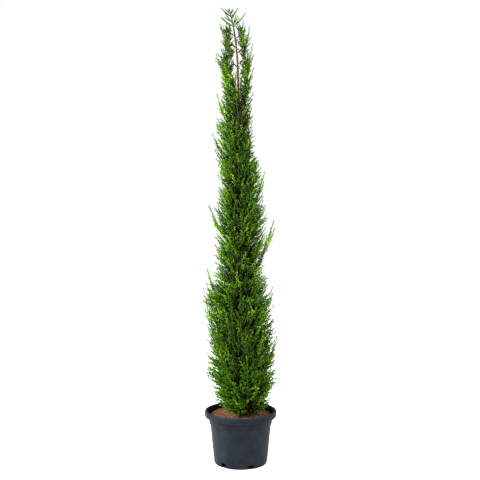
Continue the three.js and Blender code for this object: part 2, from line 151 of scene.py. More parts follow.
def grain(material, place, size_mm, detail=4, roughness=0.6):
    """Noise whose largest lumps are about size_mm across."""
    return add_node(material, "ShaderNodeTexNoise", {
        "Vector": (place, "Vector"), "Scale": 1 / (size_mm * MM), "Detail": detail,
        "Roughness": roughness})


def ramp(material, source, stops):
    """Colours dealt out along a source between 0 and 1."""
    node = add_node(material, "ShaderNodeValToRGB", {"Fac": source})
    elements = node.color_ramp.elements
    while len(elements) < len(stops):
        elements.new(0.5)
    for element, (place, code) in zip(elements, stops):
        element.position = place
        element.color = colour(code)
    return node


def add_bump(material, shader, height, depth_mm):
    """A bump of a depth in millimetres on a shader."""
    bump = add_node(material, "ShaderNodeBump", {
        "Height": height, "Distance": depth_mm * MM, "Strength": 1.0})
    material.node_tree.links.new(bump.outputs["Normal"], shader.inputs["Normal"])


print("materials so far:", len(bpy.data.materials))

# %% [markdown]
# ## The studio
#
# A pale paper floor, an even white sky, and two large soft lamps, the brighter one on the left.
# The wall that the camera sees is lit brighter than the rest of the room. It reads as white, while
# the plant itself gets less light from all round and so keeps its shadows.

# %% Floor
FLOOR_SIZE = 30
PAPER_GLOW = 0.55

floor_mesh = bpy.data.meshes.new("floor")
shape = bmesh.new()
bmesh.ops.create_grid(shape, x_segments=1, y_segments=1, size=FLOOR_SIZE / 2)
shape.to_mesh(floor_mesh)
shape.free()
floor = bpy.data.objects.new("floor", floor_mesh)
bpy.context.collection.objects.link(floor)

# White paper, lit a little from behind so that it stays white as far as it reaches.
studio_paper, shader = new_material("white studio paper", 0.9, 0.1)
shader.inputs["Base Color"].default_value = colour("#ffffff")
shader.inputs["Emission Color"].default_value = colour("#ffffff")
shader.inputs["Emission Strength"].default_value = PAPER_GLOW
floor_mesh.materials.append(studio_paper)
print("floor:", FLOOR_SIZE, "m square")

# %% Sky
WALL_STRENGTH = 1.0
FILL_STRENGTH = 0.6

world = bpy.data.worlds.new("studio")
world.use_nodes = True
wall = world.node_tree.nodes["Background"]
wall.inputs["Color"].default_value = colour("#ffffff")
wall.inputs["Strength"].default_value = WALL_STRENGTH
fill = add_node(world, "ShaderNodeBackground", {
    "Color": colour("#fafcff"), "Strength": FILL_STRENGTH})
ray = add_node(world, "ShaderNodeLightPath", {})
chosen = add_node(world, "ShaderNodeMixShader", {
    0: (ray, "Is Camera Ray"), 1: (fill, 0), 2: (wall, 0)})
surface = world.node_tree.nodes["World Output"].inputs["Surface"]
world.node_tree.links.new(chosen.outputs[0], surface)
bpy.context.scene.world = world
print("light from all round:", FILL_STRENGTH, "of the wall's", WALL_STRENGTH)

# %% Lamps
LAMP_AIM = Vector((0, 0, 1.0))


def area_lamp(name, place, size, watts):
    """A soft lamp that faces the middle of the plant."""
    data = bpy.data.lights.new(name, "AREA")
    data.shape = "RECTANGLE"
    data.size, data.size_y = size
    data.energy = watts
    lamp = bpy.data.objects.new(name, data)
    lamp.location = place
    lamp.rotation_euler = (LAMP_AIM - Vector(place)).to_track_quat("-Z", "Y").to_euler()
    bpy.context.collection.objects.link(lamp)


area_lamp("key_lamp", place=(-3.6, -1.5, 3.2), size=(0.9, 1.2), watts=560)
area_lamp("side_lamp", place=(3.4, -0.2, 2.8), size=(1.2, 2.0), watts=165)

# %% [markdown]
# ## Making pieces
#
# Every piece ends the same way: its mesh goes to an object at the origin, it rides on the one
# body, and it may stand for nodes of the frame.

# %% Finish a piece
def finish_piece(name, mesh, nodes=(), smooth=True):
    """An object at the origin that rides on the root and hides the nodes it replaces."""
    mesh.update()
    for polygon in mesh.polygons if smooth else ():
        polygon.use_smooth = True
    piece = bpy.data.objects.new(name, mesh)
    bpy.context.collection.objects.link(piece)
    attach(piece, "root")
    if nodes:
        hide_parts(*nodes)
    return piece


def mesh_of(shape, name, materials):
    """A mesh of a bmesh in millimetres, its doubles merged and its normals outward."""
    bmesh.ops.remove_doubles(shape, verts=shape.verts, dist=0.01)
    bmesh.ops.recalc_face_normals(shape, faces=shape.faces)
    bmesh.ops.scale(shape, vec=(MM, MM, MM), verts=shape.verts)
    mesh = bpy.data.meshes.new(name)
    shape.to_mesh(mesh)
    shape.free()
    for material in materials:
        mesh.materials.append(material)
    return mesh


def spun(outline, steps):
    """A bmesh of an outline in radius and height, spun round the upright axis."""
    shape = bmesh.new()
    verts = [shape.verts.new((radius, 0, height)) for radius, height in outline]
    edges = [shape.edges.new(pair) for pair in zip(verts, verts[1:])]
    bmesh.ops.spin(shape, geom=verts + edges, cent=(0, 0, 0), axis=(0, 0, 1),
                   angle=2 * math.pi, steps=steps, use_merge=True)
    return shape


# %% [markdown]
# ## The pot
#
# A nursery pot is blown or moulded in one thin wall: a plain tapering body, a raised shoulder, a
# short neck, and a rolled rim that stiffens it and gives a grip. It could be stacked up from
# cones. One outline is simpler: from the middle of the base out, up, over the rim and down inside,
# with each corner rounded by its own radius, and then spun round.

# %% Pot outline
# Radius and height; a third number rounds the corner by that many millimetres.
POT_OUTLINE = [
    (0, 1.5, 0),
    (106, 1.5, 0),
    (109, 0, 0.6),
    (122, 0, 4),
    (124.6, 24, 0),
    (128.4, 60, 0),
    (132.7, 100, 0),
    (136.9, 140, 0),
    (141, 179.6, 0.4),
    (145.3, 180.3, 0.8),
    (147, 207.8, 1.2),
    (163.6, 211.0, 2.0),
    (166, 214, 4),
    (166, 234, 4),
    (163, POT_HEIGHT, 3),
    (155, POT_HEIGHT, 3.4),
    (152, 231, 3),
    (144.5, 203, 4),
    (138, 179, 4),
    (120, 6, 5),
    (0, 6, 0),
]
BEND_STEPS = 3
MOST_ROUNDING = 0.45


def rounded(outline):
    """An outline whose corners are replaced by small arcs."""
    points = []
    for i, (radius, height, rounding) in enumerate(outline):
        corner = Vector((radius, height))
        if not rounding:
            points.append(corner)
            continue
        before = Vector(outline[i - 1][:2]) - corner
        after = Vector(outline[i + 1][:2]) - corner
        first = corner + before.normalized() * min(rounding, before.length * MOST_ROUNDING)
        last = corner + after.normalized() * min(rounding, after.length * MOST_ROUNDING)
        for step in range(BEND_STEPS + 1):
            share = step / BEND_STEPS
            points.append(first.lerp(corner, share).lerp(corner.lerp(last, share), share))
    return points


pot_outline = rounded(POT_OUTLINE)
print("pot outline:", len(POT_OUTLINE), "corners,", len(pot_outline), "points")

# %% [markdown]
# ### The drains
#
# Water leaves through six notches where the wall meets the base. They are cut by one joined body
# of small boxes, rounded along the edges that point outward.

# %% Cut the drains
DRAINS = 6
FIRST_DRAIN_ANGLE = -68
DRAIN_WIDTH = 25
DRAIN_HEIGHT = 22
DRAIN_DEPTH = 6
DRAIN_ROUNDING = 1.2
DRAIN_RADIUS = 123


def drain_boxes():
    """The room of all drains, as boxes round the foot of the pot."""
    shape = bmesh.new()
    for drain in range(DRAINS):
        turn = math.radians(FIRST_DRAIN_ANGLE + 360 * drain / DRAINS)
        made = bmesh.ops.create_cube(shape, size=1)["verts"]
        bmesh.ops.scale(shape, vec=(2 * DRAIN_DEPTH, DRAIN_WIDTH, 2 * DRAIN_HEIGHT), verts=made)
        outward = list({edge for vert in made for edge in vert.link_edges
                        if abs(edge.verts[0].co.x - edge.verts[1].co.x) > DRAIN_DEPTH})
        rounds = bmesh.ops.bevel(shape, geom=outward, offset=DRAIN_ROUNDING, segments=2,
                                 profile=0.5, affect="EDGES", material=-1)["verts"]
        moved = list({v for v in made if v.is_valid} | set(rounds))
        bmesh.ops.translate(shape, vec=(DRAIN_RADIUS, 0, 0), verts=moved)
        bmesh.ops.rotate(shape, cent=(0, 0, 0), matrix=Matrix.Rotation(turn, 3, "Z"), verts=moved)
    return shape


def cut_away(piece, shape):
    """Cuts a bmesh out of a piece, with the cut applied to its mesh."""
    cutter = bpy.data.objects.new("cutter", mesh_of(shape, "cutter", []))
    bpy.context.collection.objects.link(cutter)
    cut = piece.modifiers.new("cut", "BOOLEAN")
    cut.object = cutter
    cut.operation = "DIFFERENCE"
    cut.solver = "EXACT"
    graph = bpy.context.evaluated_depsgraph_get()
    mesh = bpy.data.meshes.new_from_object(piece.evaluated_get(graph))
    piece.modifiers.clear()
    piece.data = mesh
    bpy.data.objects.remove(cutter)


print("drains:", DRAINS, "of", DRAIN_WIDTH, "by", DRAIN_HEIGHT, "mm")

# %% [markdown]
# ### The pot's plastic
#
# Black polyethylene is satin, with a cold cast and faint upright flow marks. Painted shade makes
# the colour darker in the crease under the shoulder and under the rim, a painted highlight makes it
# lighter on the rim's top, and it is a little darker at the foot.

# %% Pot plastic
# Share of the pot's height, and the grey that the plastic's colour is multiplied by: painted shade
# under the shoulder and the rim, and a painted highlight on the rim's top.
POT_PAINTED_LIGHT_AND_SHADE = [
    (0.0, "#b4b4b4"), (0.08, "#c8c8c8"), (0.745, "#c8c8c8"), (0.758, "#969696"), (0.78, "#c8c8c8"),
    (0.85, "#c4c4c4"), (0.878, "#7c7c7c"), (0.9, "#c0c0c0"), (0.975, "#c8c8c8"), (1.0, "#ffffff"),
]
CLOUD_SIZE = 60
FLOW_MARK_WIDTH = 9
FLOW_MARK_STRETCH = 0.05
FLOW_MARK_DEPTH = 1.2

# Polyethylene: soft highlights with no mirror in them, nearly black with a cold blue cast.
pot_plastic, shader = new_material("satin black polyethylene", 0.5, 0.055)
place = stretched_place(pot_plastic, (1, 1, 1))
cloud = grain(pot_plastic, place, CLOUD_SIZE, detail=3)
shade = ramp(pot_plastic, (cloud, "Fac"), [(0.35, "#1a2027"), (0.62, "#222a32"), (0.78, "#2d333a")])
place_up = add_node(pot_plastic, "ShaderNodeSeparateXYZ", {"Vector": (place, "Vector")})
share_up = add_node(pot_plastic, "ShaderNodeMath", {
    0: (place_up, "Z"), 1: 1 / (POT_HEIGHT * MM)}, operation="MULTIPLY")
# Painted shade and a painted highlight, by height, multiplied into the plastic's colour.
painted_light_and_shade = ramp(pot_plastic, (share_up, "Value"), POT_PAINTED_LIGHT_AND_SHADE)
painted_plastic_colour = add_node(pot_plastic, "ShaderNodeMix", {
    "Factor": 1.0, "A": (shade, "Color"), "B": (painted_light_and_shade, "Color")},
    data_type="RGBA", blend_type="MULTIPLY")
pot_plastic.node_tree.links.new(painted_plastic_colour.outputs["Result"], shader.inputs["Base Color"])
upright = stretched_place(pot_plastic, (1, 1, FLOW_MARK_STRETCH))
flow_marks = grain(pot_plastic, upright, FLOW_MARK_WIDTH, detail=3)
add_bump(pot_plastic, shader, (flow_marks, "Fac"), FLOW_MARK_DEPTH)
print("nodes in the plastic:", len(pot_plastic.node_tree.nodes))

# %% Put the pot together
POT_STEPS = 120
SHARP_ANGLE = 35

pot_mesh = mesh_of(spun(pot_outline, POT_STEPS), "pot_shell", [pot_plastic])
pot = finish_piece("pot_shell", pot_mesh, ["pot"])
cut_away(pot, drain_boxes())
pot.data.set_sharp_from_angle(angle=math.radians(SHARP_ANGLE))
print("pot faces:", len(pot.data.polygons))

# %% [markdown]
# ## The soil
#
# Potting soil is crumbs on crumbs. The body of the soil is a spun disc whose top is lifted by a
# noise, so that it is lumpy at its outline as well, and falls a little towards the pot's wall.

# %% Soil body
SOIL_STEPS = 120
SOIL_RINGS = 46
SOIL_EDGE_RADIUS = 143.4
SOIL_EDGE_HEIGHT = 208
SOIL_FLAT_RADIUS = 70
SOIL_RISE = 0.5
SOIL_FALL = 2
LUMP_HEIGHT = 3
LUMP_SIZE = 16
LUMP_LAYER = 3
LUMP_ROUGHNESS = 0.7
LUMP_FINENESS = 2.2
LUMP_OCTAVES = 4
CRUMB_SIZE = 5
CRUMB_DEPTH = 2.2

SOIL_OUTLINE = [
    (0, 6.5), (102, 6.5), (108, 40), (137, 179), (SOIL_EDGE_RADIUS, 202),
    (SOIL_EDGE_RADIUS, SOIL_EDGE_HEIGHT),
]


def soil_height(x, y):
    """Height of the soil's top: flat, falling to the pot's wall, and lumpy."""
    out = (math.hypot(x, y) - SOIL_FLAT_RADIUS) / (SOIL_EDGE_RADIUS - SOIL_FLAT_RADIUS)
    lumps = noise.fractal(
        Vector((x, y, LUMP_LAYER)) / LUMP_SIZE, LUMP_ROUGHNESS, LUMP_FINENESS, LUMP_OCTAVES)
    return SOIL_LEVEL + SOIL_RISE - SOIL_FALL * max(0, out) + LUMP_HEIGHT * lumps


inward = [(SOIL_EDGE_RADIUS * (1 - i / SOIL_RINGS), SOIL_LEVEL) for i in range(1, SOIL_RINGS + 1)]
soil_shape = spun(SOIL_OUTLINE + inward, SOIL_STEPS)
for vert in soil_shape.verts:
    if vert.co.z > SOIL_EDGE_HEIGHT:
        vert.co.z = soil_height(vert.co.x, vert.co.y)

# Peat and coir: a warm dark brown, much lighter where crumbs are dry, and quite matt.
potting_soil, shader = new_material("peat and coir potting soil", 0.95, 0.1)
place = stretched_place(potting_soil, (1, 1, 1))
crumbs = grain(potting_soil, place, CRUMB_SIZE, detail=6, roughness=0.7)
shade = ramp(potting_soil, (crumbs, "Fac"), [(0.3, "#2e1c13"), (0.5, "#60412e"), (0.7, "#8f6650")])
potting_soil.node_tree.links.new(shade.outputs["Color"], shader.inputs["Base Color"])
add_bump(potting_soil, shader, (crumbs, "Fac"), CRUMB_DEPTH)

soil_mesh = mesh_of(soil_shape, "soil_body", [potting_soil])
soil = finish_piece("soil_body", soil_mesh, ["soil"])
print("soil faces:", len(soil.data.polygons))

# %% [markdown]
# ## Meshes of many small things
#
# The soil is strewn with thousands of chips, and the crown holds over a hundred thousand short
# cords of scale leaves. Objects of their own would take minutes, so joined arrays make them all
# at once: the start, end and thickness of every one go in, and one mesh comes out. A chip is a
# spindle of six faces, a cord a thorn of four, and a twig a three-sided tube.

# %% Array helpers
def mix(first, second, share):
    """A value between two, at a share of the way."""
    return first + (second - first) * share


def unit(vectors):
    """Vectors of the same headings and a length of one."""
    return vectors / np.maximum(np.linalg.norm(vectors, axis=-1, keepdims=True), 1e-9)


def on_curve(curve, share):
    """Points of a curve given by its start, its control point and its end."""
    share = np.asarray(share)[..., None]
    start, control, end = curve
    return start * (1 - share) ** 2 + control * (2 * share * (1 - share)) + end * share ** 2


def stacked(groups):
    """Several groups of like arrays as one group."""
    return [np.concatenate(parts) for parts in zip(*groups)]


def square_axes(headings):
    """Two directions square to each heading."""
    helper = np.where(np.abs(headings[..., 2:]) < 0.9, [0.0, 0.0, 1.0], [1.0, 0.0, 0.0])
    first = unit(np.cross(headings, helper))
    return first, np.cross(headings, first)


def mesh_from_arrays(name, corners, faces, tints, materials):
    """A mesh from arrays of corners in millimetres, triangles and material numbers."""
    mesh = bpy.data.meshes.new(name)
    mesh.vertices.add(len(corners))
    mesh.vertices.foreach_set("co", (corners * MM).astype(np.float32).ravel())
    mesh.loops.add(3 * len(faces))
    mesh.loops.foreach_set("vertex_index", faces.astype(np.int32).ravel())
    mesh.polygons.add(len(faces))
    mesh.polygons.foreach_set("loop_start", np.arange(0, 3 * len(faces), 3, dtype=np.int32))
    for material in materials:
        mesh.materials.append(material)
    mesh.polygons.foreach_set("material_index", tints.astype(np.int32))
    mesh.update(calc_edges=True)
    return mesh


print("half way along a curve:", on_curve(np.array([[0, 0], [0, 1], [1, 1]]), 0.5))

# %% Spindles, thorns and tubes
SPINDLE_WAIST = 0.38
SPINDLE_FACES = np.array([(0, 2, 1), (0, 3, 2), (0, 1, 3), (4, 1, 2), (4, 2, 3), (4, 3, 1)])
THORN_FACES = np.array([(0, 2, 1), (0, 1, 3), (1, 2, 3), (2, 0, 3)])
THREE_TURNS = (0, 2 * math.pi / 3, 4 * math.pi / 3)


def rings_round(centres, headings, radii):
    """Three corners round each centre, square to its heading."""
    first, second = square_axes(headings)
    return [centres + (math.cos(turn) * first + math.sin(turn) * second) * radii[..., None]
            for turn in THREE_TURNS]


def repeated(corners, pattern):
    """Corners as one list, and the faces of one small thing repeated for all of them."""
    count, size = corners.shape[0], math.prod(corners.shape[1:-1])
    faces = pattern[None] + size * np.arange(count)[:, None, None]
    return corners.reshape(-1, 3), faces.reshape(-1, 3)


def spindles(starts, ends, radii):
    """Corners and faces of three-sided spindles, widest a little before half way."""
    ring = rings_round(mix(starts, ends, SPINDLE_WAIST), unit(ends - starts), radii)
    return repeated(np.stack([starts, *ring, ends], axis=1), SPINDLE_FACES)


def thorns(starts, ends, radii):
    """Corners and faces of three-sided cones, from their starts to points."""
    ring = rings_round(starts, unit(ends - starts), radii)
    return repeated(np.stack([*ring, ends], axis=1), THORN_FACES)


def tubes(lines, radii):
    """Corners and faces of three-sided closed tubes along many lines of the same ring count."""
    headings = unit(lines[:, -1] - lines[:, 0])[:, None]
    last = 3 * (lines.shape[1] - 1)
    pattern = [(2, 1, 0)]
    for low in range(0, last, 3):
        for side in range(3):
            here, there = low + side, low + (side + 1) % 3
            pattern += [(here, there, there + 3), (here, there + 3, here + 3)]
    pattern.append((last, last + 1, last + 2))
    return repeated(np.stack(rings_round(lines, headings, radii), axis=2), np.array(pattern))


def joined(parts):
    """Corners, faces and tints of several parts as one."""
    offset = 0
    numbered = []
    for corners, faces, tints in parts:
        numbered.append((corners, faces + offset, np.repeat(tints, len(faces) // len(tints))))
        offset += len(corners)
    return stacked(numbered)


print("faces of a spindle:", len(SPINDLE_FACES), "and of a thorn:", len(THORN_FACES))

# %% [markdown]
# ### Chips on the soil
#
# A few thousand small chips of bark and fibre lie on the soil, nearly flat, joined to one mesh.
# Their mixed browns give the speckle that a bump alone can't.

# %% Chips on the soil
CHIPS = 5200
CHIP_SEED = 7
CHIP_LENGTH = (2.5, 9)
CHIP_RADIUS = (0.5, 1.5)
CHIP_TILT = 22
CHIP_FIELD = 141

# Bark, fibre and dry crumbs: quite matt, and most of them lighter than the damp peat below.
CHIP_COLOURS = {
    "dark peat crumb": "#3a2417",
    "brown bark chip": "#7a4d34",
    "tan coir fibre": "#ac8060",
    "grey brown dry crumb": "#8a6853",
}
chip_materials = [plain_material(name, code, 0.95, 0.1) for name, code in CHIP_COLOURS.items()]

rng = np.random.default_rng(CHIP_SEED)
distance = CHIP_FIELD * np.sqrt(rng.random(CHIPS))
bearing = rng.uniform(0, 2 * math.pi, CHIPS)
middles = np.stack([distance * np.cos(bearing), distance * np.sin(bearing), 0 * distance], axis=-1)
middles[:, 2] = [soil_height(x, y) for x, y, _ in middles]
turn = rng.uniform(0, 2 * math.pi, CHIPS)
tilt = np.radians(rng.normal(0, CHIP_TILT, CHIPS))
heads = np.stack([np.cos(turn) * np.cos(tilt), np.sin(turn) * np.cos(tilt), np.sin(tilt)], axis=-1)
half = heads * rng.uniform(*CHIP_LENGTH, CHIPS)[:, None] / 2
radii = rng.uniform(*CHIP_RADIUS, CHIPS)
middles[:, 2] += radii / 2
corners, faces = spindles(middles - half, middles + half, radii)
tints = np.repeat(rng.integers(0, len(CHIP_COLOURS), CHIPS), len(SPINDLE_FACES))
chips = mesh_from_arrays("soil_chips", corners, faces, tints, chip_materials)
finish_piece("soil_chips", chips, smooth=False)
print("chips:", CHIPS)

# %% [markdown]
# ## The growth rule
#
# The solids were grown by a small rule: the trunk's curve, the reach of the outline, spaces
# parted by steep cones, and seeded shoots in each space. Writing the same rule here, with the
# same seeds, puts the first shoots of each mass exactly where the solid has them. The rule then
# simply runs on, so that finer shoots fill the same room. It is written on arrays, so that one
# call places thousands of points.

# %% Outline of the crown
# Share of the height, reach to the left, reach to the right.
OUTLINE = np.array([
    (0.0, 100, 62),
    (0.04, 138, 104),
    (0.11, 158, 146),
    (0.2, 142, 140),
    (0.28, 156, 132),
    (0.38, 98, 96),
    (0.48, 106, 116),
    (0.6, 88, 98),
    (0.68, 106, 66),
    (0.78, 80, 60),
    (0.87, 84, 66),
    (0.93, 62, 60),
    (1.0, 40, 46),
])


def outline_reach(height, column):
    """Reach to one side at a height, eased between the rows of the outline."""
    place = np.clip(np.asarray(height) / TREE_HEIGHT, 0, 1)
    row = np.clip(np.searchsorted(OUTLINE[:, 0], place, side="right") - 1, 0, len(OUTLINE) - 2)
    share = (place - OUTLINE[row, 0]) / (OUTLINE[row + 1, 0] - OUTLINE[row, 0])
    return mix(OUTLINE[row, column], OUTLINE[row + 1, column], share * share * (3 - 2 * share))


def crown_reach(height, side):
    """Reach of the foliage from the trunk's axis, by height and by side."""
    left, right = outline_reach(height, 1), outline_reach(height, 2)
    return (left + right) / 2 + (right - left) / 2 * np.cos(side)


print("reach at half height:", np.round(crown_reach(TREE_HEIGHT / 2, np.array([0, math.pi]))), "mm")

# %% Curve of the trunk
FOOT_OFFSET = 38
FOOT_BEND_HEIGHT = 280
LEAN = 14
TIP_BEND = 40
TIP_BEND_START = 0.8
TIP_BEND_POWER = 2.5
SWAY = 7
SWAY_ANGLE = 5
TRUNK_RADIUS = 12.8
TRUNK_TOP_RADIUS = 1.9
TRUNK_TAPER = 0.95
FLARE = 6
FLARE_HEIGHT = 26
BARE_SHARE = 0.36
BARE_MARGIN = 10


def trunk_axis(height):
    """Centre of the trunk at heights above the soil."""
    share = np.asarray(height, float) / TREE_HEIGHT
    bend = np.maximum(0, (share - TIP_BEND_START) / (1 - TIP_BEND_START)) ** TIP_BEND_POWER
    foot = FOOT_OFFSET * np.exp(-share * TREE_HEIGHT / FOOT_BEND_HEIGHT)
    x = foot - LEAN * share - TIP_BEND * bend
    y = SWAY * np.sin(SWAY_ANGLE * share)
    return np.stack([x, y, SOIL_LEVEL + share * TREE_HEIGHT], axis=-1)


def trunk_radius(height):
    """Radius of the trunk, with the flare at its foot."""
    taper = np.maximum(0, 1 - height / TREE_HEIGHT) ** TRUNK_TAPER
    flare = FLARE * np.exp(-height / FLARE_HEIGHT)
    return TRUNK_TOP_RADIUS + (TRUNK_RADIUS - TRUNK_TOP_RADIUS) * taper + flare


def bare_radius(height, _side=0):
    """Bare room round the trunk, where only boughs run. It is the same on all sides."""
    reach = (outline_reach(height, 1) + outline_reach(height, 2)) / 2
    return np.maximum(BARE_SHARE * reach, trunk_radius(height) + BARE_MARGIN)


def crown_point(height, side, distance):
    """A point by its height, its side and its distance from the trunk's axis."""
    out = np.stack([np.cos(side), np.sin(side), 0 * np.asarray(side, float)], axis=-1)
    return trunk_axis(height) + out * np.asarray(distance)[..., None]


def place_of(points):
    """Height, side and distance of points."""
    height = points[..., 2] - SOIL_LEVEL
    away = points - trunk_axis(height)
    return height, np.arctan2(away[..., 1], away[..., 0]), np.hypot(away[..., 0], away[..., 1])


print("trunk at the soil:", round(2 * trunk_radius(0), 1), "mm thick")

# %% Spaces of the crown
TIERS = [
    dict(top=400, masses=5, turn=-70, spread=1, shoots=9, cored=True),
    dict(top=790, masses=5, turn=-106, spread=1, shoots=11, cored=True),
    dict(top=1180, masses=4, turn=-60, spread=1, shoots=11, cored=True),
    dict(top=1560, masses=4, turn=-105, spread=1, shoots=11, cored=True),
    dict(top=1710, masses=2, turn=0, spread=0.72, shoots=12, cored=False),
    dict(top=1880, masses=2, turn=0, spread=0.66, shoots=10, cored=False),
]
TIP_SHOOTS = 8
LOW_SLOPE = 2
HIGH_SLOPE = 2.7
TIP_SLOPE = 0.6
SPACE_FLOOR = 10


def parting_cone(top):
    """The cone that parts two tiers: where it leaves the axis, and its rise per distance."""
    slope = mix(LOW_SLOPE, HIGH_SLOPE, min(1, top / TRUNK_HEIGHT))
    return float(top - slope * bare_radius(top) / BARE_SHARE), slope


def make_spaces():
    """Every space of the crown, from the soil to the tip."""
    spaces = []
    floor_cone = (-TREE_HEIGHT, 0)
    for level, tier in enumerate(TIERS):
        last = level == len(TIERS) - 1
        ceiling = (TRUNK_HEIGHT, TIP_SLOPE) if last else parting_cone(tier["top"])
        for sector in range(tier["masses"]):
            spaces.append(dict(
                name=f"{level + 1}_{sector + 1}",
                middle=math.radians(tier["turn"] + 360 * sector / tier["masses"]),
                half_width=tier["spread"] * math.pi / tier["masses"],
                bottom=TIERS[level - 1]["top"] if level else SPACE_FLOOR,
                top=min(tier["top"], TREE_HEIGHT),
                floor=floor_cone,
                ceiling=ceiling,
                wanted=tier["shoots"],
                cored=tier["cored"],
                whole=False,
            ))
        floor_cone = ceiling
    spaces.append(dict(
        name="tip", middle=0, half_width=math.pi, bottom=TRUNK_HEIGHT, top=TREE_HEIGHT,
        floor=floor_cone, ceiling=(2 * TREE_HEIGHT, 0), wanted=TIP_SHOOTS, cored=False, whole=True,
    ))
    return spaces


spaces = make_spaces()
print("spaces:", len(spaces))

# %% Places in a space
SKIRT_HEIGHT = 20
SPACE_MARGIN = 1.6
LONGEST_REACH = 1.5
PASSES = 4


def turn_from(space, side):
    """Turn from the middle of a space to a side, between minus pi and pi."""
    turn = side - space["middle"]
    return np.arctan2(np.sin(turn), np.cos(turn))


def in_space(space, points, margin=SPACE_MARGIN, bare_margin=None):
    """Whether points lie in a space, clear of its bounds and of its bare room by a margin."""
    height, side, distance = place_of(points)
    foot, slope = space["floor"]
    above = (height - foot - slope * distance) / math.hypot(1, slope)
    foot, slope = space["ceiling"]
    below = (foot + slope * distance - height) / math.hypot(1, slope)
    inside = (above > margin) & (below > margin)
    inside &= distance < LONGEST_REACH * crown_reach(height, side)
    inside &= (height <= TREE_HEIGHT) & (height > (SPACE_FLOOR if margin > 0 else SKIRT_HEIGHT))
    if space["whole"]:
        return inside
    from_plane = space["half_width"] - np.abs(turn_from(space, side))
    inside &= distance * np.sin(np.clip(from_plane, -math.pi / 2, math.pi / 2)) > margin
    bare_margin = margin if bare_margin is None else bare_margin
    return inside & (distance > bare_radius(height) + bare_margin)


def height_in_space(space, share, distance):
    """A height at a share of the way from a space's floor to its ceiling."""
    low = np.maximum(SPACE_FLOOR, space["floor"][0] + space["floor"][1] * distance)
    high = np.minimum(TREE_HEIGHT, space["ceiling"][0] + space["ceiling"][1] * distance)
    return mix(low, high, share)


def place_in_space(space, side, share, distance_at):
    """A point at a share of a space's height, and a distance that depends on the height."""
    height = mix(space["bottom"], space["top"], share)
    for _ in range(PASSES):
        height = height_in_space(space, share, distance_at(height, side))
    return crown_point(height, side, distance_at(height, side))


middle_of_first = place_in_space(spaces[0], spaces[0]["middle"], 0.5, crown_reach)
print("the first space's outer middle:", np.round(middle_of_first), "mm")

# %% [markdown]
# ## Boughs and stems
#
# Each bough leaves the trunk, climbs steeply and ends where its mass begins. From its tip the
# mass's stem carries on in the same line and bends up to follow the trunk.

# %% Boughs and stems
STEM_CLEARANCE = 0.3
BOUGH_TILT = 32
BOUGH_RISE = 0.14
BOUGH_SAG = 0.12
STEM_OUT = 0.66
STEM_RISE = 0.84
STEM_BEND = 0.22
TIP_STEM_BEND = 40
TIP_STEM_DROP = 2
CURVE_SAMPLES = 201


def bough_curve(space):
    """Foot, control point and tip of the bough of a space."""
    tip = place_in_space(space, space["middle"], BOUGH_RISE, bare_radius)
    height, _, distance = place_of(tip)
    drop = distance / math.tan(math.radians(BOUGH_TILT))
    foot = trunk_axis(max(height - drop, SPACE_FLOOR))
    middle = (foot + tip) / 2
    middle[2] -= BOUGH_SAG * drop
    return foot, middle, tip


def stem_curve(space):
    """Foot, control point and end of the stem of a space."""
    if space["whole"]:
        heights = (TRUNK_HEIGHT + 3 * STEM_CLEARANCE, TRUNK_HEIGHT + TIP_STEM_BEND,
                   TREE_HEIGHT - TIP_STEM_DROP)
        return tuple(trunk_axis(height) for height in heights)
    _, middle, tip = bough_curve(space)
    heading = unit(tip - middle)
    foot = tip + heading * STEM_CLEARANCE
    end = place_in_space(space, space["middle"], STEM_RISE,
                         lambda height, side: STEM_OUT * crown_reach(height, side))
    return foot, foot + heading * (STEM_BEND * np.linalg.norm(end - foot)), end


def even_on_curve(curve, share):
    """Points at shares of a curve's length."""
    fine = np.linspace(0, 1, CURVE_SAMPLES)
    points = on_curve(curve, fine)
    steps = np.linalg.norm(np.diff(points, axis=0), axis=1)
    walked = np.concatenate([[0], np.cumsum(steps)])
    return on_curve(curve, np.interp(share, walked / walked[-1], fine))


for space in spaces:
    space["stem"] = stem_curve(space)
stem_spans = [np.linalg.norm(space["stem"][2] - space["stem"][0]) for space in spaces]
print("longest stem:", round(max(stem_spans)), "mm")

# %% [markdown]
# ## Main shoots
#
# A seeded number stream picks the lean of each shoot, its reach and its size, while two evenly
# stepping sequences spread the shoots over the outside of the mass. These first shoots are the
# solid's own. A short list gives the single long shoots that stand out of the outline.

# %% The seeded stream
SEED = 1874


def seeded_numbers(seed, count):
    """The solids' own number stream, so that both grow the same shoots."""
    state = seed & 0xFFFFFFFF
    numbers = []
    for _ in range(count):
        state = (state + 0x6D2B79F5) & 0xFFFFFFFF
        mixed = ((state ^ (state >> 15)) * (state | 1)) & 0xFFFFFFFF
        mixed ^= (mixed + (((mixed ^ (mixed >> 7)) * (mixed | 61)) & 0xFFFFFFFF)) & 0xFFFFFFFF
        numbers.append(((mixed ^ (mixed >> 14)) & 0xFFFFFFFF) / 4294967296)
    return np.array(numbers)


print("first draws:", np.round(seeded_numbers(SEED, 3), 4))

# %% Making shoots
SHOOT_LENGTH = 140
SHORTEST_SHARE = 0.62
TIP_SHARE = 0.4
TIP_BREADTH = 0.4
ROOT_REACH = 0.56
ROOT_SPREAD = 0.78
ROOT_RISE = 0.8
STEM_ROOTS = (0.06, 0.94)
LONGEST_SPRAY = 0.8
STALK_CHECKS = (0.35, 0.7)
UPTURN = 0.25

# Corners of a spray's outline: across, and along from its base to its tip.
SPRAY_OUTLINE = np.array([
    (0.1, 0.24), (0.28, 0.74), (0.09, 0.56), (0, 1), (-0.08, 0.6), (-0.3, 0.6), (-0.09, 0.18),
])


def shoot_roots(space, turn, share, reach=ROOT_REACH, spread=ROOT_SPREAD, rise=ROOT_RISE):
    """Where shoots begin: in the core of a dense mass, or on the stem of an open one."""
    if not space["cored"]:
        return even_on_curve(space["stem"], mix(*STEM_ROOTS, share))
    side = space["middle"] + spread * turn * space["half_width"]
    return place_in_space(space, side, 0.5 + rise * (share - 0.5),
                          lambda height, _: reach * crown_reach(height, side))


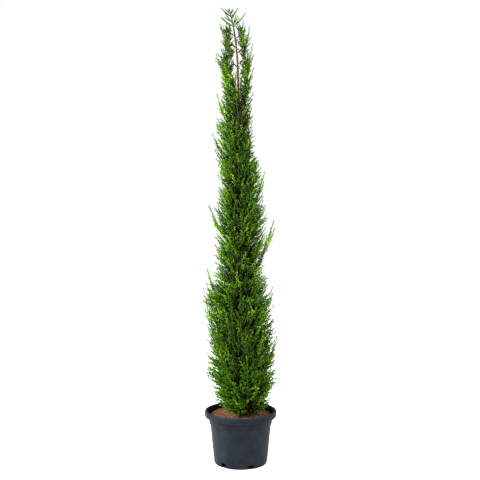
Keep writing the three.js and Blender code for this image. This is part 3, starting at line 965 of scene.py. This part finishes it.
def make_shoots(space, roots, tips, length, hand, upturn=UPTURN):
    """Shoots: their roots, the bases of their sprays, their tips, flat sides and sizes."""
    side = place_of(tips)[1]
    across = np.stack([-np.sin(side), np.cos(side), 0 * side], axis=-1)
    heading = tips - roots
    spray = np.minimum(length, LONGEST_SPRAY * np.linalg.norm(heading, axis=-1))
    heading = unit(heading)
    heading[..., 2] += upturn
    bases = tips - unit(heading) * spray[..., None]
    breadth = spray * hand * (TIP_BREADTH if space["whole"] else 1)
    return roots, bases, tips, across * breadth[..., None], spray


def shoots_fit(space, shoots):
    """Which shoots keep to their space, by their stalks and the outlines of their sprays."""
    roots, bases, tips, across, _ = shoots
    fits = np.ones(len(roots), bool)
    for share in STALK_CHECKS:
        fits &= in_space(space, mix(roots, bases, share))
    for x, y in SPRAY_OUTLINE:
        fits &= in_space(space, mix(bases, tips, y) + across * x)
    return fits


def longest_shoot(space):
    """The longest that a main shoot's spray gets."""
    return SHOOT_LENGTH * (TIP_SHARE if space["whole"] else 1)


print("longest spray at the tip:", longest_shoot(spaces[-1]), "mm")

# %% Single long shoots
TIP_RUN = 0.95
# Height of the tip, its side in degrees, its reach.
LONG_SHOOTS = np.array([
    (1874, 180, 36), (1870, 180, 19), (1874, 8, 42), (1848, 352, 70), (1832, 180, 50),
    (1794, 4, 78), (1720, 20, 84), (1666, 180, 98), (1480, 180, 100), (1296, 180, 122),
    (1181, 24, 94), (1125, 9, 123), (966, 186, 143), (895, 336, 172), (857, 345, 149),
    (672, 180, 156), (594, 344, 153), (550, 178, 174), (453, 165, 170), (359, 0, 162),
])


def long_shoots(space):
    """The single long shoots that stand out of the outline, where they fall in this space."""
    height, degrees, reach = LONG_SHOOTS.T
    side = np.radians(degrees)
    run = TIP_RUN * reach if space["whole"] else reach - ROOT_REACH * crown_reach(height, side)
    share = (height - run - space["bottom"]) / (space["top"] - space["bottom"])
    turn = turn_from(space, side) / space["half_width"]
    here = (np.abs(turn) <= 1) & (share >= 0) & (share <= 1)
    roots = shoot_roots(space, turn[here], share[here])
    tips = crown_point(height[here], side[here], reach[here])
    length = np.full(here.sum(), longest_shoot(space))
    shoots = make_shoots(space, roots, tips, length, np.ones(here.sum()))
    fits = shoots_fit(space, shoots)
    return [part[fits] for part in shoots]


print("long shoots:", sum(len(long_shoots(space)[0]) for space in spaces))

# %% Main shoots of every mass
SHOOT_TILT = 13
SHOOT_TILT_RANGE = 22
TIP_SCATTER = 0.2
OPEN_SCATTER = 0.5
SCATTER_MIDDLE = 0.6
MOST_TRIES = 30
SIDE_STEP = 0.7548776662
HEIGHT_STEP = 0.569840291


def seeded_shoots(space, number, steps):
    """Every shoot of the seeded sequence, before it is known which of them fit."""
    numbers = seeded_numbers(SEED + number, 1 + 4 * steps)
    start, draws = numbers[0], numbers[1:].reshape(steps, 4)
    step = np.arange(1, steps + 1)
    turn = 2 * ((start + step * SIDE_STEP) % 1) - 1
    share = (start + step * HEIGHT_STEP) % 1
    side = space["middle"] + turn * space["half_width"]
    scatter = TIP_SCATTER if space["cored"] else OPEN_SCATTER
    reach = 1 + scatter * (draws[:, 0] - SCATTER_MIDDLE)
    rise = 1 / np.tan(np.radians(SHOOT_TILT + SHOOT_TILT_RANGE * draws[:, 1]))
    hand = np.where(draws[:, 2] < 0.5, -1.0, 1.0)
    size = longest_shoot(space) * mix(SHORTEST_SHARE, 1, draws[:, 3])
    return turn, share, side, reach, rise, hand, size


def grown_tips(side, roots, reach, rise):
    """Tips that climb from their roots at a slope until they meet a share of the outline."""
    tips = roots.copy()
    for _ in range(PASSES):
        height = np.minimum(TREE_HEIGHT, tips[:, 2] - SOIL_LEVEL)
        tips = crown_point(height, side, reach * crown_reach(height, side))
        tips[:, 2] = roots[:, 2] + rise * np.hypot(*(tips - roots)[:, :2].T)
    return tips


def main_shoots(space, number):
    """The shoots that the solid of this mass has."""
    found = long_shoots(space)
    still_wanted = space["wanted"] - len(found[0])
    steps = MOST_TRIES * space["wanted"]
    turn, share, side, reach, rise, hand, size = seeded_shoots(space, number, steps)
    roots = shoot_roots(space, turn, share)
    shoots = make_shoots(space, roots, grown_tips(side, roots, reach, rise), size, hand)
    kept = np.flatnonzero(shoots_fit(space, shoots))[:still_wanted]
    return stacked([found, [part[kept] for part in shoots]])


for number, space in enumerate(spaces):
    space["main"] = main_shoots(space, number)
print("main shoots:", [len(space["main"][0]) for space in spaces])

# %% [markdown]
# ## Finer shoots
#
# Finer shoots follow wherever they find room, in layers from the outside in: a new tip keeps its
# distance from the tips before it, as real shoots do when they grow towards the light. A smooth
# noise moves the outer tips in and out and leaves some out. So the foliage stands in clumps, with
# darker hollows between them, deeper still by painted shade in their tints, and doesn't look like
# a brush.

# %% Clumps and bounds
CLUMP_SIZE = 42
CLUMP_CONTRAST = 1.3
BOX_MARGIN = 3
SOLID_LOW, SOLID_HIGH = (np.array(corner) / MM for corner in cad_box)
FOOT_WINDOW_MIDDLE = 40
FOOT_WINDOW_HALF_WIDTH = 20
FOOT_WINDOW_TOP = 78


def clumping(points):
    """How far a place lies inside a clump of foliage: 0 in the hollows between, 1 within."""
    noises = [noise.noise(Vector(point / CLUMP_SIZE)) for point in points]
    return np.clip(0.5 + CLUMP_CONTRAST * np.array(noises), 0, 1)


def in_box(points):
    """Whether points keep to the box of the solids, which the finest leaves keep to as well."""
    inside = (points > SOLID_LOW - BOX_MARGIN) & (points < SOLID_HIGH + BOX_MARGIN)
    return np.all(inside, axis=-1)


def hides_foot(points):
    """Whether sprays would hang in front of the trunk's foot, which shows between the lowest."""
    beside = np.abs(points[:, 0] - FOOT_WINDOW_MIDDLE) < FOOT_WINDOW_HALF_WIDTH
    return beside & (points[:, 1] < 0) & (points[:, 2] < SOIL_LEVEL + FOOT_WINDOW_TOP)


in_clumps = np.mean(clumping(np.concatenate([space["main"][2] for space in spaces])) > 0.5)
print("share of the main tips in clumps:", round(float(in_clumps), 2))

# %% Layers of finer shoots
# Reach of the tips, reach of the roots, spray length, distance between tips, least clumping.
# bare lets tips into the bare room round the trunk, and low keeps roots near the soil.
FINE_LAYERS = [
    dict(reach=(0.8, 1.05), root=0.36, length=(30, 52), apart=18.5, clump=0.27),
    dict(reach=(0.62, 0.86), root=0.2, length=(42, 66), apart=26, clump=0.05),
    dict(reach=(0.2, 0.56), root=0.08, length=(42, 70), apart=29, clump=0, bare=-22),
]
OPEN_LAYERS = [
    dict(reach=(0.62, 1.12), root=0.4, length=(38, 64), apart=22, clump=0.05, bare=-14),
    dict(reach=(0.16, 0.6), root=0.25, length=(34, 56), apart=19, clump=0, bare=-16),
]
FOOT_LAYER = dict(reach=(0.82, 1.04), root=0.3, length=(30, 52), apart=17, clump=0, low=0.2)
FINE_STEPS = 4200
FINE_SPREAD = 1.0
FINE_RISE = 1.5
FINE_TILT = (32, 74)
FINE_UPTURN = 0.05
FINE_MARGIN = -5
FOOT_TILT = 42
FOOT_HEIGHT = 80
SIDE_SCATTER = 0.34
REACH_SCATTER = 0.05
LOW_FULLNESS = 1.06
LOW_TOP = 790


def nearness_to_soil(points):
    """1 at the soil, and less and less above it."""
    return np.exp(-np.maximum(0, points[:, 2] - SOIL_LEVEL) / FOOT_HEIGHT)


def tips_apart(tips, fits, taken, apart):
    """Which tips find room, each a little away from all tips before it."""
    kept = []
    for i in np.flatnonzero(fits):
        if np.min(np.sum((taken - tips[i]) ** 2, axis=1)) > apart ** 2:
            taken = np.vstack([taken, tips[i]])
            kept.append(i)
    return kept, taken


def fine_shoots(space, number, layer, taken):
    """Finer shoots of one layer, and all the tips taken so far."""
    turn, share, side, _, _, hand, _ = seeded_shoots(space, number, FINE_STEPS)
    rng = np.random.default_rng(SEED + 100 * number + int(layer["apart"]))
    full = LOW_FULLNESS if space["top"] <= LOW_TOP else 1
    scatter = rng.normal(full, REACH_SCATTER, FINE_STEPS)
    length = rng.uniform(*layer["length"], FINE_STEPS)
    roots = shoot_roots(
        space, turn, share * layer.get("low", 1), layer["root"], FINE_SPREAD, FINE_RISE)
    tilt = rng.uniform(*FINE_TILT, FINE_STEPS) + FOOT_TILT * nearness_to_soil(roots)
    side = side + rng.normal(0, SIDE_SCATTER, FINE_STEPS)
    rise = 1 / np.tan(np.radians(tilt))
    clump = clumping(grown_tips(side, roots, np.mean(layer["reach"]), rise))
    tips = grown_tips(side, roots, scatter * mix(*layer["reach"], clump), rise)
    shoots = make_shoots(space, roots, tips, length, hand, FINE_UPTURN)
    middles = mix(shoots[1], tips, 0.5)
    bare = layer.get("bare", FINE_MARGIN)
    fits = in_space(space, tips, FINE_MARGIN, bare) & (clump > layer["clump"])
    fits &= in_space(space, middles, FINE_MARGIN, bare) & ~hides_foot(middles) & in_box(tips)
    kept, taken = tips_apart(tips, fits, taken, layer["apart"])
    return [part[kept] for part in shoots], taken


sample, _ = fine_shoots(spaces[0], 0, FINE_LAYERS[0], spaces[0]["main"][2])
print("outer shoots that the first mass has room for:", len(sample[0]))

# %% [markdown]
# ### The leader and the forks
#
# The top of the leader stands free above the foliage, with thin shoots of its own up both sides,
# and some short ones along its bare stretch. They are few and each one shows, so they are listed.
# The single long shoots stand out against the sky too, so each gets two side forks.

# %% Leader shoots and forks
# Shoots of the leader: height of the root, side and tilt in degrees, length.
LEADER_SHOOTS = np.array([
    (1790, 186, 54, 62), (1784, 350, 32, 50), (1812, 176, 60, 44), (1822, 12, 24, 40),
    (1838, 250, 36, 30), (1834, 170, 50, 34), (1846, 20, 34, 24), (1856, 150, 32, 20),
    (1798, 262, 44, 40), (1814, 96, 42, 38), (1848, 330, 30, 22), (1828, 78, 40, 30),
    (1744, 184, 50, 46), (1732, 352, 46, 42), (1690, 178, 46, 40), (1664, 8, 42, 40),
    (1614, 4, 44, 46), (1600, 174, 40, 44), (1640, 100, 40, 34), (1700, 280, 40, 30),
])
# Ends of the two forks of a spray: across, and along from its base to its tip.
FORKS = [(0.28, 0.74), (-0.3, 0.6)]
FORK_FROM = 0.12
FORK_UPTURN = 0.3
FORKED_REACH = 1.08


def leader_shoots(space):
    """Thin shoots up both sides of the leader."""
    height, side, tilt, length = LEADER_SHOOTS.T
    side, tilt = np.radians(side), np.radians(tilt)
    roots = trunk_axis(height)
    heads = np.stack([np.sin(tilt) * np.cos(side), np.sin(tilt) * np.sin(side), np.cos(tilt)], axis=-1)
    tips = roots + heads * length[:, None]
    tips[:, 2] = np.minimum(tips[:, 2], SOIL_LEVEL + TREE_HEIGHT)
    return make_shoots(space, roots, tips, length, np.ones(len(length)))


def relative_reach(tips):
    """The distance of tips from the trunk as a share of the outline's reach."""
    height, side, distance = place_of(tips)
    return distance / crown_reach(height, side)


def fork_shoots(space, shoots):
    """The two side forks of shoots."""
    _, bases, tips, across, length = shoots
    forks = stacked([
        make_shoots(space, mix(bases, tips, FORK_FROM), mix(bases, tips, y) + across * x,
                    length, np.ones(len(length)), FORK_UPTURN) for x, y in FORKS])
    kept = in_box(forks[2])
    return [part[kept] for part in forks]


print("leader shoots:", len(LEADER_SHOOTS), "forks on a long shoot:", len(FORKS))

# %% Grow and shade every mass
# Painted shade in the sprays' tints: darker inside, in hollows and in front. Painted light: long
# shoots and sprays near the soil are lighter.
DARK_REACH = 0.4
LIT_REACH = 1.0
CLUMP_SHADE = 0.5
FRONT_SHADE = 0.36
LONG_SHOOT_SHADE = 0.25
SOIL_PAINTED_LIGHT = 0.75


def grow_mass(space, number):
    """The shoots of a mass in groups: the long ones, the other main ones, then finer layers."""
    taken = space["main"][2]
    far = (relative_reach(taken) > FORKED_REACH) & space["cored"]
    long_ones = [part[far] for part in space["main"]]
    others = [part[~far] for part in space["main"]]
    if space["whole"]:
        return [long_ones, stacked([others, leader_shoots(space)])]
    groups = [stacked([long_ones, fork_shoots(space, long_ones)]), others]
    at_the_foot = space["bottom"] == SPACE_FLOOR
    layers = FINE_LAYERS if space["cored"] else OPEN_LAYERS
    for layer in [FOOT_LAYER] * at_the_foot + layers:
        made, taken = fine_shoots(space, number, layer, taken)
        groups.append(made)
    if at_the_foot:
        groups[2:4] = [stacked(groups[2:4])]
    return groups


def shade_of(space):
    """Painted shade for each shoot's tints, from 0 to 1: more inside, in hollows and in front,
    and less, as painted light, on long shoots and near the soil.
    """
    tips = space["shoots"][2]
    lit = np.clip((relative_reach(tips) - DARK_REACH) / (LIT_REACH - DARK_REACH), 0, 1)
    flank = np.abs(np.cos(place_of(tips)[1]))
    shade = 1 - lit * mix(1, clumping(tips), CLUMP_SHADE) * mix(1 - FRONT_SHADE, 1, flank)
    shade[space["layer"] == 0] *= LONG_SHOOT_SHADE
    return shade * (1 - SOIL_PAINTED_LIGHT * nearness_to_soil(tips))


for number, space in enumerate(spaces):
    groups = grow_mass(space, number)
    space["layer"] = np.concatenate([np.full(len(group[0]), i) for i, group in enumerate(groups)])
    space["shoots"] = stacked(groups)
    space["shade"] = shade_of(space)
shoot_counts = [len(space["layer"]) for space in spaces]
print("shoots:", sum(shoot_counts), shoot_counts)

# %% [markdown]
# ## Scale leaves
#
# Cypress leaves are tiny overlapping scales that sheathe the twigs, matt and a little waxy, so a
# twig looks like a green cord. Fresh tips are a lighter yellow green, older sprays are deeper and
# some are bluish. A few dead twigs turn straw brown. Each spray gets a plain colour, drawn from
# shares that depend on how shaded its shoot is, so that its colour carries painted shade and
# painted light, and its newest cords may be a tint lighter.

# %% Leaf and twig materials
LEAF_COLOURS = {
    "shaded green scale leaves": "#161f15",
    "deep green scale leaves": "#20321a",
    "green scale leaves": "#365612",
    "fresh green scale leaves": "#517d14",
    "light green scale leaves": "#72a91e",
    "yellow green scale leaves": "#98c032",
    "bluish green scale leaves": "#274a20",
    "straw brown dead scale leaves": "#6a4e26",
}
GREEN_CORD = 2
LIGHTEST = 5
# Waxy scales scatter light in all directions, so they are matt, with hardly a highlight.
leaf_materials = [plain_material(name, code, 0.7, 0.04) for name, code in LEAF_COLOURS.items()]
# Young twig bark, dark brown and matt, and darker still by painted shade, so that the hollows look
# deep.
twig_material = plain_material("young cypress twig bark", "#2b1b10", 0.8, 0.06)
print("leaf materials:", len(leaf_materials))

# %% Shares of the tints
# A column for each tint, and a row for each step from the best lit shoots to the most shaded.
TINT_SHARES = np.array([
    [0.00, 0.00, 0.08, 0.38, 0.40, 0.10, 0.02, 0.02],
    [0.02, 0.12, 0.36, 0.34, 0.08, 0.01, 0.04, 0.03],
    [0.30, 0.38, 0.22, 0.04, 0.00, 0.00, 0.02, 0.04],
    [0.60, 0.30, 0.04, 0.00, 0.00, 0.00, 0.00, 0.06],
])
OPEN_TINT_SHARES = np.array([
    [0.00, 0.10, 0.38, 0.32, 0.08, 0.01, 0.02, 0.09],
    [0.04, 0.20, 0.38, 0.22, 0.04, 0.00, 0.02, 0.10],
    [0.14, 0.34, 0.30, 0.08, 0.00, 0.00, 0.02, 0.12],
    [0.20, 0.34, 0.26, 0.06, 0.00, 0.00, 0.00, 0.14],
])
TIP_TINT_SHARES = np.array([
    [0.00, 0.04, 0.26, 0.30, 0.08, 0.00, 0.00, 0.32],
    [0.00, 0.10, 0.30, 0.24, 0.04, 0.00, 0.00, 0.32],
])
# Below the first draw a spray is a tint darker than its shoot, above the second one lighter.
TINT_STEPS = (0.14, 0.9)
# Share of plain green sprays on a bluish or a brown shoot.
ODD_SHARE = 0.3


def tints_of(shares, shade, shoot, rng):
    """A tint for each finger: one for its shoot, now and then a step lighter or darker."""
    row = np.clip(shade, 0, 0.999) * (len(shares) - 1)
    sums = np.cumsum(shares, axis=1)
    sums = mix(sums[row.astype(int)], sums[row.astype(int) + 1], (row % 1)[:, None])
    draws = rng.random(len(shade))[:, None]
    own = np.minimum((draws > sums).sum(axis=1), len(LEAF_COLOURS) - 1)
    tints = own[shoot]
    draws = rng.random(len(shoot))
    step = np.where(draws < TINT_STEPS[0], -1, np.where(draws > TINT_STEPS[1], 1, 0))
    stepped = np.clip(tints + step, 0, LIGHTEST)
    odd = np.where(rng.random(len(shoot)) < ODD_SHARE, GREEN_CORD, tints)
    return np.where(tints <= LIGHTEST, stepped, odd)


fresh_share = TINT_SHARES[0, GREEN_CORD + 1:LIGHTEST + 1].sum()
print("best lit shoots that are fresh green or lighter:", round(fresh_share, 2))

# %% [markdown]
# ## Sprays
#
# A shoot carries fingers on both sides, like a fan with its face to the light. Each finger bends
# up towards the tip and carries short cords of scale leaves. That gives the crown its feathery
# edge of forked points. Textured cards would be quicker, but they look flat from the side, so
# every cord is a small closed shape.

# %% Fingers
# Sizes of the cords and spacing of the fingers, by the layer of their shoot.
LAYER_SIZES = np.array([1.0, 0.95, 0.95, 1.2, 1.7])
LAYER_STEPS = np.array([0.85, 1.5, 0.9, 1.25, 1.7])
LEAFY_FROM = 0.25
LEAFY_TO = 0.985
LEAST_FINGERS = 4
FINGER_STEP = 4.7
FINGER_BEND = 0.4
FINGER_LEAN = (40, 74)
FINGER_END_LEAN = (10, 46)
FINGER_LENGTH = (9, 21)
FINGER_SCATTER = (0.6, 1.15)
TIP_NARROWING = 0.6
OPEN_FINGER_SIZE = 0.75
FAN_TURN = 0.7
OUT_OF_FAN = 0.6
LIFT = 0.02


def counted(counts):
    """For each of many rows: which row a thing is on, its number there and its share."""
    row = np.repeat(np.arange(len(counts)), counts)
    order = np.arange(len(row)) - np.repeat(np.cumsum(counts) - counts, counts)
    return row, order, (order + 0.5) / counts[row]


def leaning(headings, away, degrees):
    """Directions that lean off their headings towards a side, and a little up."""
    lean = np.radians(degrees)[:, None]
    leaned = np.cos(lean) * headings + np.sin(lean) * away
    leaned[:, 2] += LIFT
    return unit(leaned)


def grow_fingers(space, size, rng):
    """The fingers of a mass: their lines, the flat side of each, their shoots and lengths."""
    roots, bases, tips, across, length = space["shoots"]
    step = FINGER_STEP * LAYER_STEPS[space["layer"]]
    counts = np.maximum(LEAST_FINGERS, (length * (1 - LEAFY_FROM) / step).astype(int))
    shoot, order, along = counted(counts)
    share = mix(LEAFY_FROM, LEAFY_TO, along)
    curve = [part[shoot] for part in (roots, bases, tips)]
    points = on_curve(curve, share)
    first, last = curve[1] - curve[0], curve[2] - curve[1]
    headings = unit(first * (1 - share)[:, None] + last * share[:, None])
    flat = unit(across)[shoot]
    out = unit(np.cross(headings, flat))
    fan = rng.normal(0, FAN_TURN, len(length))[shoot]
    turn = fan + math.pi * (order % 2) + rng.normal(0, OUT_OF_FAN, len(order))
    away = np.cos(turn)[:, None] * flat + np.sin(turn)[:, None] * out
    reach = size[shoot] * mix(FINGER_LENGTH[1], FINGER_LENGTH[0], along)
    reach = reach * rng.uniform(*FINGER_SCATTER, len(order))
    reach *= 1 if space["cored"] else OPEN_FINGER_SIZE
    narrow = mix(1.0, TIP_NARROWING, along)
    low = leaning(headings, away, narrow * rng.uniform(*FINGER_LEAN, len(order)))
    high = leaning(headings, away, narrow * rng.uniform(*FINGER_END_LEAN, len(order)))
    middles = points + low * (reach * FINGER_BEND)[:, None]
    ends = middles + high * (reach * (1 - FINGER_BEND))[:, None]
    return np.stack([points, middles, ends], axis=1), away, shoot, reach


print("rows of 2 and 3 things:", *counted(np.array([2, 3]))[:2])

# %% Cords
LEAST_CORDS = 3
CORD_STEP = 2.7
CORD_LEAN = (28, 56)
CORD_LENGTH = (4.0, 8.2)
CORD_SCATTER = (0.7, 1.25)
CORD_TURN = 0.8
FRESH_FROM = 0.55


def grow_cords(lines, away, reach, size, rng):
    """Short cords on both sides of each finger, shorter and fresher towards its end."""
    counts = np.maximum(LEAST_CORDS, (reach / (CORD_STEP * size)).astype(int))
    line, order, along = counted(counts)
    lower = along < FINGER_BEND
    first = np.where(lower[:, None], lines[line, 0], lines[line, 1])
    last = np.where(lower[:, None], lines[line, 1], lines[line, 2])
    share = np.where(lower, along / FINGER_BEND, (along - FINGER_BEND) / (1 - FINGER_BEND))
    starts = mix(first, last, share[:, None])
    heads = unit(last - first)
    side = unit(np.cross(heads, np.cross(away[line], heads)))
    other = np.cross(heads, side)
    turn = math.pi * order + rng.normal(0, CORD_TURN, len(order))
    sideways = np.cos(turn)[:, None] * side + np.sin(turn)[:, None] * other
    length = size[line] * mix(CORD_LENGTH[1], CORD_LENGTH[0], along)
    length = length * rng.uniform(*CORD_SCATTER, len(order))
    degrees = rng.uniform(*CORD_LEAN, len(order))
    ends = starts + leaning(heads, sideways, degrees) * length[:, None]
    return starts, ends, line, along > FRESH_FROM


print("cords are about", CORD_LENGTH[0], "to", CORD_LENGTH[1], "mm long")

# %% Leaves of a mass
# A margin below zero, so that leaves may pass the bounds of their own space a little.
OVERHANG = -12
CORD_RADIUS = 1.55
FINGER_RADII = np.array([1.7, 1.6, 1.1])
SHOOT_RINGS = 4
LEAFY_SHOOT_FROM = 0.4
LEAFY_SHOOT_RADII = (1.9, 0.8)
TIP_CORD_SIZE = 1.1
TIP_SHOOT_RADII = (3.4, 2.0)
TIP_SHOOT_SHARES = (0.1, 0.5, 1)
# Heights of three points on the green top of the leader.
LEADER_GREEN = (1738, 1806, 1871)


def along_shoots(space, shares):
    """Points at shares of every shoot of a space."""
    curve = [part[:, None] for part in space["shoots"][:3]]
    return on_curve(curve, np.array(shares)[None])


def tapering(lines, radii):
    """Radii for every line, evenly from the first radius to the last."""
    return np.tile(np.linspace(*radii, lines.shape[1]), (len(lines), 1))


def tip_lines(space):
    """The thin shoots of the leader and its own green top, which carry cords and no fingers."""
    lines = np.concatenate([along_shoots(space, TIP_SHOOT_SHARES), trunk_axis(LEADER_GREEN)[None]])
    shoot = np.append(np.arange(len(lines) - 1), 0)
    away = unit(space["shoots"][3])[shoot]
    return lines, away, shoot, np.linalg.norm(lines[:, 2] - lines[:, 0], axis=1)


def crown_lines(space, size, rng):
    """The fingers of a mass that keep to its own space and to the box of the solids."""
    made = grow_fingers(space, size, rng)
    lines = made[0]
    kept = in_space(space, lines[:, 1], OVERHANG) & in_box(lines[:, 2])
    return [part[kept] for part in made]


def grow_leaves(space, number):
    """Corners, faces and tints of all that is green on a mass."""
    rng = np.random.default_rng(SEED + number)
    if space["whole"]:
        size = np.full(len(space["layer"]), TIP_CORD_SIZE)
        lines, away, shoot, reach = tip_lines(space)
        shares, shoot_radii = TIP_TINT_SHARES, TIP_SHOOT_RADII
    else:
        size = LAYER_SIZES[space["layer"]]
        lines, away, shoot, reach = crown_lines(space, size, rng)
        shares = TINT_SHARES if space["cored"] else OPEN_TINT_SHARES
        shoot_radii = LEAFY_SHOOT_RADII
    tints = tints_of(shares, space["shade"], shoot, rng)
    made = grow_cords(lines, away, reach, size[shoot], rng)
    kept = (space["whole"] | in_space(space, made[1], OVERHANG)) & in_box(made[1])
    starts, ends, line, fresh = (part[kept] for part in made)
    cord_tints = tints[line] + (fresh & (tints[line] < LIGHTEST - 1))
    leafy_shoots = along_shoots(space, np.linspace(LEAFY_SHOOT_FROM, 1, SHOOT_RINGS))
    return joined([
        (*tubes(lines, FINGER_RADII * size[shoot][:, None]), tints),
        (*thorns(starts, ends, CORD_RADIUS * size[shoot][line]), cord_tints),
        (*tubes(leafy_shoots, tapering(leafy_shoots, shoot_radii)), [GREEN_CORD]),
    ])


print("the leader is green above", LEADER_GREEN[0], "mm")

# %% Twigs of a mass
BARE_SHOOT_TO = 0.5
BARE_SHOOT_RADII = (1.8, 1.1)
STEM_RINGS = 24
STEM_RADII = (3.0, 1.4)
STEM_PLACES = np.linspace(0.02, 1, 60)
BRANCHLET_TILT = 40
BRANCHLET_RADII = (1.8, 1.2)
BRANCHLET_SAG = 0.15
RUN_COST = 0.2


def branchlets(space):
    """Twigs from the stem of a dense mass to the roots of its shoots."""
    roots = space["shoots"][0]
    stem = on_curve(space["stem"], STEM_PLACES)
    run = np.linalg.norm(roots[:, None, :2] - stem[None, :, :2], axis=2)
    wanted = roots[:, None, 2] - run / math.tan(math.radians(BRANCHLET_TILT))
    cost = np.abs(stem[None, :, 2] - wanted) + RUN_COST * run
    starts = stem[np.argmin(cost, axis=1)]
    bends = mix(starts, roots, 0.5)
    bends[:, 2] -= BRANCHLET_SAG * np.linalg.norm(roots - starts, axis=1)
    curve = [part[:, None] for part in (starts, bends, roots)]
    return on_curve(curve, np.linspace(0, 1, SHOOT_RINGS)[None])


def grow_twigs(space):
    """Corners, faces and tints of all that is bark on a mass."""
    sets = [
        (along_shoots(space, np.linspace(0, BARE_SHOOT_TO, SHOOT_RINGS)), BARE_SHOOT_RADII),
        (on_curve(space["stem"], np.linspace(0, 1, STEM_RINGS))[None], STEM_RADII),
    ]
    if space["cored"]:
        sets.append((branchlets(space), BRANCHLET_RADII))
    return joined([(*tubes(lines, tapering(lines, radii)), [0]) for lines, radii in sets])


print("branchlets of the first mass:", len(branchlets(spaces[0])))

# %% Dress every mass
def dress_mass(space, number):
    """Puts the leaves and the twigs of one mass in place of its solid."""
    name = space["name"]
    leaves = mesh_from_arrays("leaves_" + name, *grow_leaves(space, number), leaf_materials)
    finish_piece(leaves.name, leaves, ["foliage_" + name], smooth=False)
    twigs = mesh_from_arrays("twigs_" + name, *grow_twigs(space), [twig_material])
    finish_piece(twigs.name, twigs, smooth=False)
    return len(leaves.polygons), len(twigs.polygons)


totals = np.array([dress_mass(space, number) for number, space in enumerate(spaces)])
print("leaf triangles:", totals[:, 0].sum(), "twig triangles:", totals[:, 1].sum(),
      "most in one piece:", totals.max())

# %% [markdown]
# ## Trunk and boughs
#
# Cypress bark is thin, reddish brown and fibrous: long shallow strips run up the trunk. The limbs
# are drawn ring by ring along their curves, and each ring's corners are moved in and out by a
# noise that is stretched along the limb, so that ridges run up it.

# %% Limbs
BARK_RELIEF = 0.09
STRIP_WIDTHS_ROUND = 2.4
STRIP_LENGTH = 38
STRIP_ROUGHNESS = 0.9
STRIP_FINENESS = 2.1
STRIP_OCTAVES = 4


def ridge(angle, height):
    """How far bark stands out on one side of a limb, as a share of the limb's radius."""
    place = Vector((STRIP_WIDTHS_ROUND * math.cos(angle), STRIP_WIDTHS_ROUND * math.sin(angle),
                    height / STRIP_LENGTH))
    return BARK_RELIEF * noise.fractal(place, STRIP_ROUGHNESS, STRIP_FINENESS, STRIP_OCTAVES)


def add_limb(shape, line, radii, sides):
    """A closed limb along a line of points, with ridges that run along it."""
    last_edges = None
    for centre, radius in zip(line, radii):
        ring = bmesh.ops.create_circle(shape, segments=sides, radius=1)["verts"]
        for vert in ring:
            angle = math.atan2(vert.co.y, vert.co.x)
            out = radius * (1 + ridge(angle, centre[2]))
            vert.co = (centre[0] + out * math.cos(angle), centre[1] + out * math.sin(angle), centre[2])
        edges = list({edge for vert in ring for edge in vert.link_edges})
        if last_edges:
            bmesh.ops.bridge_loops(shape, edges=last_edges + edges)
        else:
            bmesh.ops.contextual_create(shape, geom=edges)
        last_edges = edges
    bmesh.ops.contextual_create(shape, geom=last_edges)


print("bark relief:", round(BARK_RELIEF * TRUNK_RADIUS, 1), "mm on the trunk")

# %% [markdown]
# ### Bark
#
# Bark on a young cypress is red brown and smooth where it is young, and greyer in the furrows,
# with fine fibres that run up the trunk. Near the leader's tip it is still green.

# %% Bark material
BARK_STRETCH = 0.12
FIBRE_WIDTH = 3.2
FIBRE_DEPTH = 0.7
GREEN_FROM = 1690
GREEN_TO = 1760

# Fibrous bark: matt and warm, streaked lengthways.
cypress_bark, shader = new_material("fibrous red brown cypress bark", 0.82, 0.06)
place = stretched_place(cypress_bark, (1, 1, BARK_STRETCH))
fibres = grain(cypress_bark, place, FIBRE_WIDTH, detail=5, roughness=0.65)
old_bark = ramp(cypress_bark, (fibres, "Fac"), [
    (0.3, "#4a2515"), (0.5, "#7e4329"), (0.72, "#a96a48")])
green_bark = ramp(cypress_bark, (fibres, "Fac"), [(0.3, "#1d2410"), (0.7, "#39441c")])
height = add_node(cypress_bark, "ShaderNodeSeparateXYZ", {"Vector": (place, "Vector")})
greening = add_node(cypress_bark, "ShaderNodeMapRange", {
    "Value": (height, "Z"), "From Min": BARK_STRETCH * (SOIL_LEVEL + GREEN_FROM) * MM,
    "From Max": BARK_STRETCH * (SOIL_LEVEL + GREEN_TO) * MM})
shade = add_node(cypress_bark, "ShaderNodeMix", {
    "Factor": (greening, "Result"), "A": (old_bark, "Color"), "B": (green_bark, "Color")},
    data_type="RGBA")
cypress_bark.node_tree.links.new(shade.outputs["Result"], shader.inputs["Base Color"])
add_bump(cypress_bark, shader, (fibres, "Fac"), FIBRE_DEPTH)
print("bark turns green", GREEN_FROM, "to", GREEN_TO, "mm above the soil")

# %% Trunk
TRUNK_SIDES = 20
TRUNK_RINGS = 240
BARK_THICKNESS = 0.9
SINK = 2

heights = np.linspace(-SINK, TRUNK_HEIGHT, TRUNK_RINGS)
trunk_shape = bmesh.new()
add_limb(trunk_shape, trunk_axis(heights), trunk_radius(heights) + BARK_THICKNESS, TRUNK_SIDES)
trunk_mesh = mesh_of(trunk_shape, "trunk_bark", [cypress_bark])
trunk = finish_piece("trunk_bark", trunk_mesh, ["trunk"])
print("trunk faces:", len(trunk.data.polygons))

# %% Boughs
BOUGH_SHARE = 0.5
BOUGH_TIP_SHARE = 0.55
BOUGH_SIDES = 9
BOUGH_RINGS = 16

boughs_shape = bmesh.new()
shares = np.linspace(0, 1, BOUGH_RINGS)
for space in spaces[:-1]:
    thick = BOUGH_SHARE * trunk_radius(space["bottom"])
    line = on_curve(bough_curve(space), shares)
    add_limb(boughs_shape, line, thick * mix(1, BOUGH_TIP_SHARE, shares), BOUGH_SIDES)
boughs_mesh = mesh_of(boughs_shape, "boughs_bark", [cypress_bark])
bough_names = ["bough_" + space["name"] for space in spaces[:-1]]
boughs = finish_piece("boughs_bark", boughs_mesh, bough_names)
print("bough faces:", len(boughs.data.polygons))
